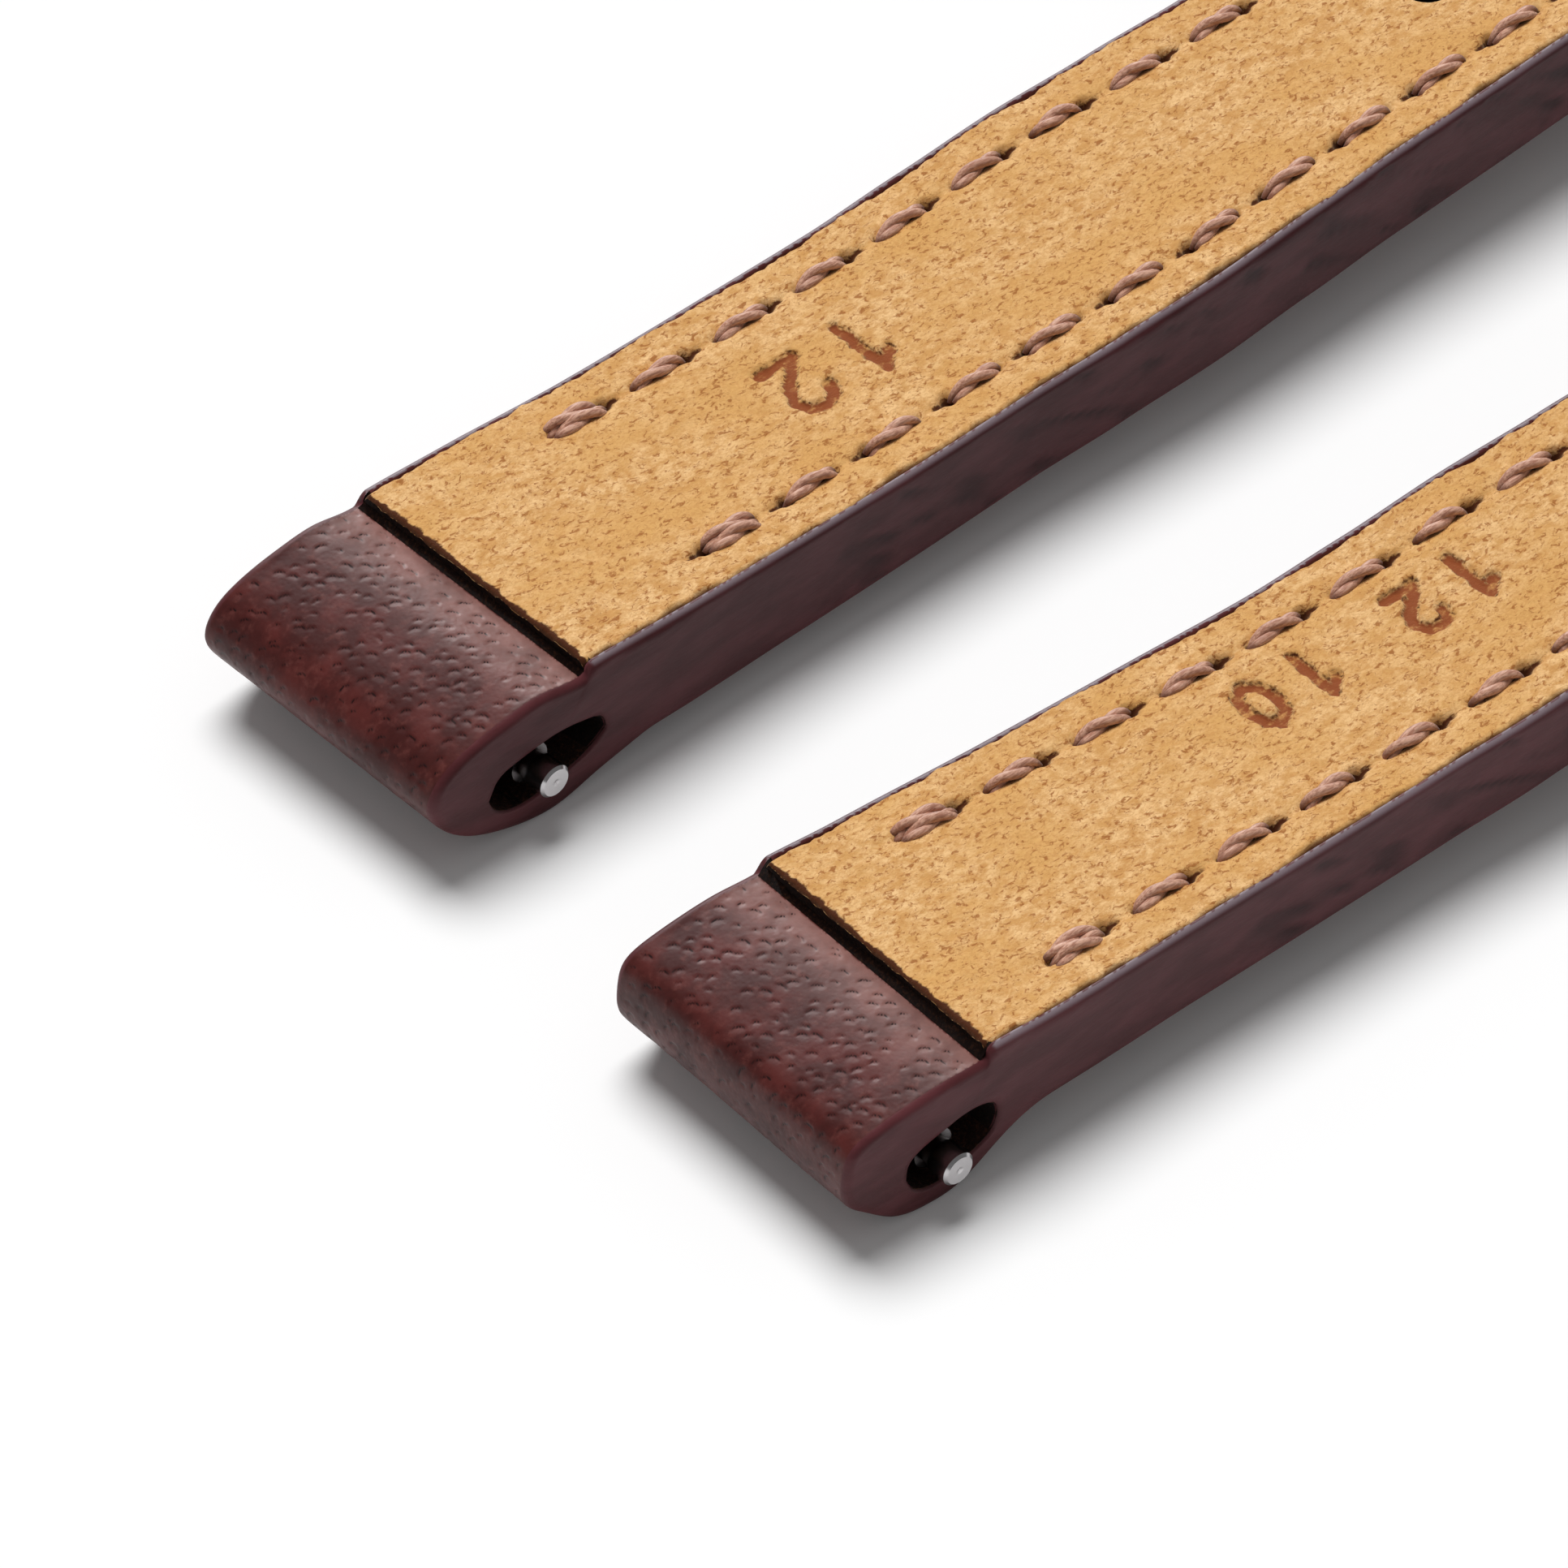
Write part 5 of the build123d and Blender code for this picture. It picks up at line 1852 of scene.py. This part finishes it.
@dataclass(frozen=True)
class Stitching:
    """The thread of a half: on each face, short bulges of two plies twisted round each other.

    Attributes:
        half: The half.
        thread: The thread's finish.
        ply_radius: Radius of a ply.
        ply_offset: Distance of a ply's middle from the thread's.
        turns: Turns of the twist in one stitch.
        rise: How far the thread's middle rises over the leather.
        sink: How far it sinks into its holes.
        start: Where the thread comes up, from the start of its stitch.
        shown: Length of the bulge.
        spread: Distance of each thread of a doubled stitch from the middle.
        slant: How far the stitch lies askew.
        points: Points along a bulge.
        sides: Points round a ply.
        seed: Which scatter.
    """

    half: Half
    thread: Material
    ply_radius: float = 0.18
    ply_offset: float = 0.14
    turns: float = 0.8
    rise: float = 0.08
    sink: float = 0.34
    start: float = 0.72
    shown: float = 2.3
    spread: float = 0.2
    slant: float = 0.09
    points: int = 26
    sides: int = 10
    seed: int = 5

    def bulge(
        self, work: Patchwork, a: np.ndarray, b: np.ndarray, face: Face, shift: float,
        rng: np.random.Generator,
    ) -> None:
        """Adds one stitch.

        Args:
            work: Where the faces go.
            a: Hole where the stitch starts.
            b: Hole where it ends.
            face: Which face of the strap it shows on.
            shift: How far to one side it lies.
            rng: The scatter of hand work.
        """
        run = b - a
        length = float(np.hypot(*run))
        along = run / length
        side = np.array([-along[1], along[0]])
        first = self.start + rng.uniform(-0.08, 0.08)
        last = first + self.shown + rng.uniform(-0.15, 0.12)
        t = np.linspace(0, 1, self.points)
        slant = self.slant * (t - 0.5) * (1 if shift == 0 else 0.4) + rng.normal(0, 0.02)
        plan = a + along * (first + (last - first) * t)[:, None]
        plan = plan + side * (shift + slant)[:, None]
        up = 1.0 if face is Face.LINING else -1.0
        ground = self.half.top(plan[:, 0]) + 0.04 if up > 0 else self.half.under(plan[:, 0])
        arch = 1 - abs(2 * t - 1) ** 3.2
        height = ground + up * (-self.sink + (self.rise + self.sink) * arch ** 0.8)
        centre = np.column_stack([plan, height])
        turn = rng.uniform(0, 2 * math.pi) + t * self.turns * 2 * math.pi
        for ply in (0.0, math.pi):
            wave = self.ply_offset * np.cos(turn + ply)
            swell = self.ply_offset * np.sin(turn + ply)
            path = centre + np.column_stack([side[0] * wave, side[1] * wave, swell])
            full = np.sin(math.pi * np.clip(t, 0.02, 0.98)) ** 0.6
            radius = self.ply_radius * (0.6 + 0.4 * full)
            ring = tube(path, radius, self.sides, np.array([0.02, 0.01, 1.0]))
            # Darker towards the ends where the thread sinks: painted shade.
            end_shade = np.repeat((1 - arch)[:, None], self.sides, 1)
            work.grid(ring, 0, wrap=True, sunk=end_shade)

    def build(self) -> Object:
        """Builds the stitches of both faces.

        Returns:
            All of them as one piece.
        """
        rng = np.random.default_rng(self.seed)
        work = Patchwork()
        for a, b, doubled in self.half.stitches():
            for face in Face:
                for shift in (-self.spread, self.spread) if doubled else (0.0,):
                    self.bulge(work, a, b, face, shift, rng)
        return work.mesh(f"{self.half.name}_thread", self.half, (self.thread,), weld=0)


@dataclass(frozen=True)
class Keeper:
    """A leather loop that holds the long half's tail, with creased grain and painted edges.

    Attributes:
        name: The piece's name.
        from_bar: Distance of its middle from the buckle bar.
        grain: Finish of the outside.
        paint: Finish of the edges.
        inside: Finish of the opening, near black as painted shade.
        length: Length along the strap.
        inner_width: Width of the opening.
        inner_height: Height of the opening.
        wall: Thickness of the leather.
        outer_corner: Radius of the outer corners.
        inner_corner: Radius of the opening's corners.
        rim: Radius of the rounded edges.
        crease_inset: Distance of the creased line from the edge.
        crease_depth: Depth of that line.
        crease_width: Its width.
        steps: Points along the outside.
        corner_steps: Points round a corner.
        side_steps: Points along a straight side.
        hollow_steps: Points along the opening.
    """

    name: str
    from_bar: float
    grain: Material
    paint: Material
    inside: Material
    length: float = 4.5
    inner_width: float = 10.5
    inner_height: float = 6.0
    wall: float = 1.2
    outer_corner: float = 1.5
    inner_corner: float = 0.4
    rim: float = 0.22
    crease_inset: float = 0.75
    crease_depth: float = 0.09
    crease_width: float = 0.11
    steps: int = 61
    corner_steps: int = 13
    side_steps: int = 40
    hollow_steps: int = 12

    def outline(self, grow: float, corner: float) -> np.ndarray:
        """Rounded rectangle round the opening.

        Args:
            grow: How far outside the opening it lies.
            corner: Radius of its corners.

        Returns:
            Points across and up, the same number whatever the size.
        """
        wide, high = self.inner_width / 2 + grow, self.inner_height / 2 + grow
        points = []
        for number, (sx, sz) in enumerate(((1, 1), (-1, 1), (-1, -1), (1, -1))):
            turn = QUARTER * number + np.linspace(0, QUARTER, self.corner_steps)
            centre = np.array([sx * (wide - corner), sz * (high - corner)])
            points.append(centre + corner * np.stack([np.cos(turn), np.sin(turn)], axis=1))
        ring = np.concatenate(points + [points[0][:1]])
        filled = []
        for a, b in zip(ring[:-1], ring[1:]):
            count = self.side_steps if (b - a) @ (b - a) > 9 else 1
            filled.append(a + (b - a) * (np.arange(count) / count)[:, None])
        return np.concatenate(filled)

    def placed(self, ring: np.ndarray, along: float) -> np.ndarray:
        """Puts an outline at a place along the loop.

        Args:
            ring: Points across and up from the opening's middle.
            along: Distance from the loop's middle.

        Returns:
            The points in the short half's frame.
        """
        x = np.full(len(ring), SHORT.end - self.from_bar + along)
        return np.column_stack([x, ring[:, 0], self.inner_height / 2 + self.wall + ring[:, 1]])

    def build(self) -> Object:
        """Builds the loop.

        Returns:
            The closed ring.
        """
        outer = self.outline(self.wall, self.outer_corner)
        inner = self.outline(0.0, self.inner_corner)
        if len(outer) != len(inner):
            raise ValueError("the two outlines of a keeper differ in their points")
        half_length = self.length / 2
        x = np.linspace(-half_length + self.rim, half_length - self.rim, self.steps)
        away = (half_length - abs(x) - self.crease_inset) / self.crease_width
        crease = self.crease_depth * np.exp(-away ** 2)
        rows = np.array([
            self.placed(outer * (1 - down / np.hypot(*outer.T))[:, None], along)
            for along, down in zip(x, crease)
        ])
        place = rows.reshape(-1, 3)
        swell = 0.02 * noise(place, 1.1, 61) + 0.012 * noise(place, 0.45, 62)
        # Small dents, darkened inside as painted shade.
        dark = np.clip(noise(place, 0.28, 63) * 2.4 - 1.25, 0, 1)
        number = np.arange(self.steps)
        calm = np.clip(np.minimum(number, number[::-1]) / 4, 0, 1)[:, None]
        bend = (swell - 0.04 * dark).reshape(rows.shape[:2]) * calm
        direction = outer / np.hypot(*outer.T)[:, None]
        rows[..., 1:] += direction[None] * bend[..., None]
        work = Patchwork()
        work.grid(rows, Skin.GRAIN, wrap=True, pore=dark.reshape(rows.shape[:2]) * calm)
        rings = []
        for angle in np.linspace(0, QUARTER, 5):
            within = self.rim * (1 - math.cos(angle))
            reach = half_length - self.rim + self.rim * math.sin(angle)
            rings.append((self.outline(self.wall - within, self.outer_corner - within), reach))
        flat, mouth = rings[-1][0], self.outline(0.1, self.inner_corner + 0.1)
        for share in np.linspace(0, 1, 8)[1:-1]:
            rings.append((flat * (1 - share) + mouth * share, half_length))
        rings.append((mouth, half_length))
        rings.append((self.outline(0.03, self.inner_corner + 0.03), half_length - 0.04))
        rings.append((inner, half_length - 0.1))
        for end in (1, -1):
            band = np.array([self.placed(ring, end * reach) for ring, reach in rings])
            work.grid(band, Skin.PAINT, wrap=True)
        depths = np.linspace(-half_length + 0.1, half_length - 0.1, self.hollow_steps)
        hollow = np.array([self.placed(inner, along) for along in depths])
        work.grid(hollow, Skin.INSIDE, wrap=True)
        return work.mesh(self.name, SHORT, (self.grain, self.paint, self.inside))


@dataclass(frozen=True)
class Punch:
    """Tools that cut the openings of a half.

    Attributes:
        half: The half.
        hole_radius: Radius of the buckle holes.
        last_hole_from_tip: Distance of the outermost hole from the tip.
        hole_pitch: Distance from hole to hole.
        hole_count: How many holes there are.
        slot_reach: How far the tang's slot reaches in from the buckle bar.
        slot_end: Where the slot's tool ends, clear of the fold.
        slot_half: Half the width of the slot.
        slot_floor: Height where the slot's tool starts, under the leather.
        hole_floor: The same for the holes.
        roof: Height where the tools end, over the leather.
        sides: Points round a hole.
    """

    half: Half
    hole_radius: float = 0.95
    last_hole_from_tip: float = 20.0
    hole_pitch: float = 6.5
    hole_count: int = 7
    slot_reach: float = 2.75
    slot_end: float = 70.0
    slot_half: float = 1.1
    slot_floor: float = -1.0
    hole_floor: float = -2.0
    roof: float = 12.0
    sides: int = 48

    def block(self, finish: Material) -> Object:
        """Makes the box that cuts the slot for the tang.

        Args:
            finish: What the slot's walls show.

        Returns:
            The tool.
        """
        work = Patchwork()
        wide, low, high = self.slot_half, self.slot_floor, self.roof
        ring = np.array([(-wide, low), (wide, low), (wide, high), (-wide, high)])
        ends = (self.half.end - self.slot_reach, self.slot_end)
        rows = np.array([np.column_stack([np.full(len(ring), x), ring]) for x in ends])
        work.grid(rows, 0, wrap=True)
        work.sheet(rows[0])
        work.sheet(rows[1])
        return work.mesh("tool", self.half, (finish,))

    def rods(self, finish: Material) -> Object:
        """Makes the rods that punch the buckle holes.

        Args:
            finish: What the holes' walls show.

        Returns:
            The tool, all rods as one piece.
        """
        work = Patchwork()
        turn = np.arange(self.sides) * 2 * math.pi / self.sides
        for number in range(self.hole_count):
            x = self.half.end - self.last_hole_from_tip - self.hole_pitch * number
            circle = np.column_stack([np.cos(turn), np.sin(turn)]) * self.hole_radius + (x, 0)
            levels = (self.hole_floor, self.roof)
            rows = np.array([np.column_stack([circle, np.full(self.sides, z)]) for z in levels])
            work.grid(rows, 0, wrap=True)
            work.sheet(rows[0])
            work.sheet(rows[1])
        return work.mesh("tool", self.half, (finish,))


def toward(heading: float, elevation: float) -> Vector:
    """Unit vector in a direction.

    Args:
        heading: Degrees from the y axis towards the x axis.
        elevation: Degrees over the table.

    Returns:
        The direction.
    """
    turn, tilt = math.radians(heading), math.radians(elevation)
    flat = math.cos(tilt)
    return Vector((flat * math.sin(turn), flat * math.cos(turn), math.sin(tilt)))


@dataclass(frozen=True)
class Studio:
    """The floor, the light and the camera.

    Attributes:
        lens: Focal length in millimetres.
        distance: Distance of the camera from its target, in metres.
        heading: Where the camera looks, in degrees from the y axis towards the x axis.
        elevation: How steeply it looks down, in degrees.
        roll: How far it's turned about its own line of sight, in degrees.
        target: What it looks at, in metres.
        key_side: Degrees of the key to the left of where the camera looks.
        key_elevation: Degrees of the key over the table.
        key_strength: Strength of the key.
        key_angle: How wide the key looks, in degrees.
        sheen_side: The same for the sheen light.
        sheen_elevation: The same for the sheen light.
        sheen_strength: The same for the sheen light.
        sheen_angle: The same for the sheen light.
        fill: Strength of the even light from all sides.
        floor_size: Side of the paper, in metres.
        sensor: Width of the camera's sensor in millimetres.
        nearest: Distance from which the camera sees, in metres.
        farthest: Distance up to which it sees, in metres.
    """

    lens: float = 269.94
    distance: float = 0.4
    heading: float = 43.10301
    elevation: float = 43.90454
    roll: float = 1.857972
    target: tuple[float, float, float] = (-0.0430786, 0.0015996, 0.0)
    key_side: float = 25.0
    key_elevation: float = 68.0
    key_strength: float = 3.05
    key_angle: float = 36.0
    sheen_side: float = 10.0
    sheen_elevation: float = 24.0
    sheen_strength: float = 1.7
    sheen_angle: float = 24.0
    fill: float = 0.2
    floor_size: float = 4.0
    sensor: float = 36.0
    nearest: float = 0.02
    farthest: float = 20.0

    def camera(self) -> None:
        """Sets up the camera, fitted to the photograph's view of the two lug ends."""
        ahead = toward(self.heading, -self.elevation)
        right = ahead.cross(Vector((0, 0, 1))).normalized()
        over = right.cross(ahead)
        spin = math.radians(self.roll)
        side = right * math.cos(spin) + over * math.sin(spin)
        upward = over * math.cos(spin) - right * math.sin(spin)
        data = bpy.data.cameras.new("camera")
        data.lens = self.lens
        data.sensor_width = self.sensor
        data.clip_start = self.nearest
        data.clip_end = self.farthest
        view = bpy.data.objects.new("camera", data)
        place = Vector(self.target) - ahead * self.distance
        rows = [(side[i], upward[i], -ahead[i], place[i]) for i in range(3)]
        view.matrix_world = Matrix((*rows, (0, 0, 0, 1)))
        bpy.context.scene.collection.objects.link(view)
        bpy.context.scene.camera = view

    def lamp(
        self, name: str, side: float, elevation: float, strength: float, angle: float
    ) -> Object:
        """Adds a far, broad light.

        Args:
            name: Its name.
            side: Degrees to the left of where the camera looks.
            elevation: Degrees over the table.
            strength: Its strength.
            angle: How wide it looks, in degrees.

        Returns:
            The lamp.
        """
        data = bpy.data.lights.new(name, "SUN")
        data.energy = strength
        data.angle = math.radians(angle)
        made = bpy.data.objects.new(name, data)
        away = toward(self.heading - side, elevation)
        made.rotation_euler = away.to_track_quat("Z", "Y").to_euler()
        bpy.context.scene.collection.objects.link(made)
        return made

    def light(self) -> None:
        """Sets up a broad key without gloss, a sheen light with nothing but gloss, and an even room."""
        key = self.lamp("key", self.key_side, self.key_elevation, self.key_strength, self.key_angle)
        key.visible_glossy = False
        sheen = self.lamp(
            "sheen", self.sheen_side, self.sheen_elevation, self.sheen_strength, self.sheen_angle
        )
        sheen.visible_diffuse = False
        world = bpy.data.worlds.new("room")
        bpy.context.scene.world = world
        world.use_nodes = True
        tree = world.node_tree
        tree.nodes.clear()
        path = add(tree, "LightPath")
        level = add(tree, "MapRange", {
            "Value": path.outputs["Is Camera Ray"], "To Min": self.fill, "To Max": 1.0,
        })
        room = add(tree, "Background", {"Color": WHITE, "Strength": level.outputs[0]})
        add(tree, "OutputWorld", {"Surface": room.outputs[0]})
        bpy.context.scene.view_settings.view_transform = "Standard"

    def floor(self, paper: Material) -> None:
        """Lays the white paper that the strap lies on.

        Args:
            paper: The paper's finish.
        """
        reach = self.floor_size / 2
        corners = [(x * reach, y * reach, 0) for x, y in ((-1, -1), (1, -1), (1, 1), (-1, 1))]
        data = bpy.data.meshes.new("floor")
        data.from_pydata(corners, [], [(0, 1, 2, 3)])
        data.materials.append(paper)
        sheet = bpy.data.objects.new("floor", data)
        sheet.location.z = float(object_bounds()[0][2])
        bpy.context.scene.collection.objects.link(sheet)
        sheet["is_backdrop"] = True


def dress_steel() -> None:
    """Gives the CAD's steel nodes and bonded sleeves their finishes."""
    turned = Steel("turned_bar_steel").material()
    drawn = Steel("drawn_spring_wire", roughness=0.28, stretch=(6.0, 0.6, 6.0)).material()
    brushed = (0.5, 22.0, 0.5)
    satin = Steel("satin_buckle_steel", ground="#BDBBBC", roughness=0.3, stretch=brushed).material()
    # The sleeve's dark brown is partly its own colour and partly painted shade inside the tunnel.
    sleeve = CutEdgeAndShade("bonded_sleeve", ground="#241410", light="#5A3524").material()
    choices = (
        ("_spring", drawn), ("_liner", sleeve), ("_frame", satin), ("_tang", satin),
        ("_tube", turned), ("_tip_", turned),
    )
    for name, node in frame["nodes"].items():
        for part, finish in choices:
            if part in name:
                for slot in node.material_slots:
                    slot.material = finish
                break


def attach(piece: Object, body: str, slot: str, *nodes: str) -> None:
    """Makes a piece ride on a body and hides the CAD nodes that it stands for.

    Args:
        piece: The piece.
        body: The CAD body that it rides on.
        slot: Not used.
        nodes: The CAD nodes that it stands for.
    """
    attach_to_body(piece, body)
    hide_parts(*nodes)
    LOG.info("%s on %s: %d faces", piece.name, body, len(piece.data.polygons))


def main() -> None:
    """Builds the strap, piece by piece, and the studio round it."""
    logging.basicConfig(level=logging.INFO, format="%(message)s")
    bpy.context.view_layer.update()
    studio = Studio()
    studio.camera()
    studio.light()
    studio.floor(StudioFloor("white_paper").material())
    grain = GrainLeather("grain_leather").material()
    paint = EdgePaint("edge_paint").material()
    dark = CutEdgeAndShade("cut_edge_and_shade").material()
    suede = Suede("suede").material()
    thread = WaxedThread("waxed_thread").material()
    dress_steel()
    marks = {LONG: Mark("12", (19.1, 0.1), 2.6), SHORT: Mark("12 10", (25.0, 1.0), 2.1)}
    for half in (LONG, SHORT):
        leather = LeatherBody(half, grain, paint, dark).build()
        lining = Lining(half, suede, dark, marks[half]).build()
        punch = Punch(half)
        if half.tip_length:
            cut(leather, punch.rods(dark))
            cut(lining, punch.rods(dark))
        else:
            cut(leather, punch.block(dark))
        stitches = Stitching(half, thread).build()
        attach(leather, half.body, "face_leather", f"{half.name}_face_leather", f"{half.name}_filler")
        attach(lining, half.body, "suede_lining", f"{half.name}_lining")
        attach(stitches, half.body, "thread", f"{half.name}_stitching")
    fixed_from_bar, keeper_spacing = 8.4, 6.2
    keepers = (
        ("fixed", fixed_from_bar, "short_strap"),
        ("free", fixed_from_bar + keeper_spacing, "free_keeper"),
    )
    for name, from_bar, body in keepers:
        keeper = Keeper(f"{name}_loop", from_bar, grain, paint, dark).build()
        attach(keeper, body, "face_leather", f"{name}_keeper")


if __name__ == "__main__":
    main()
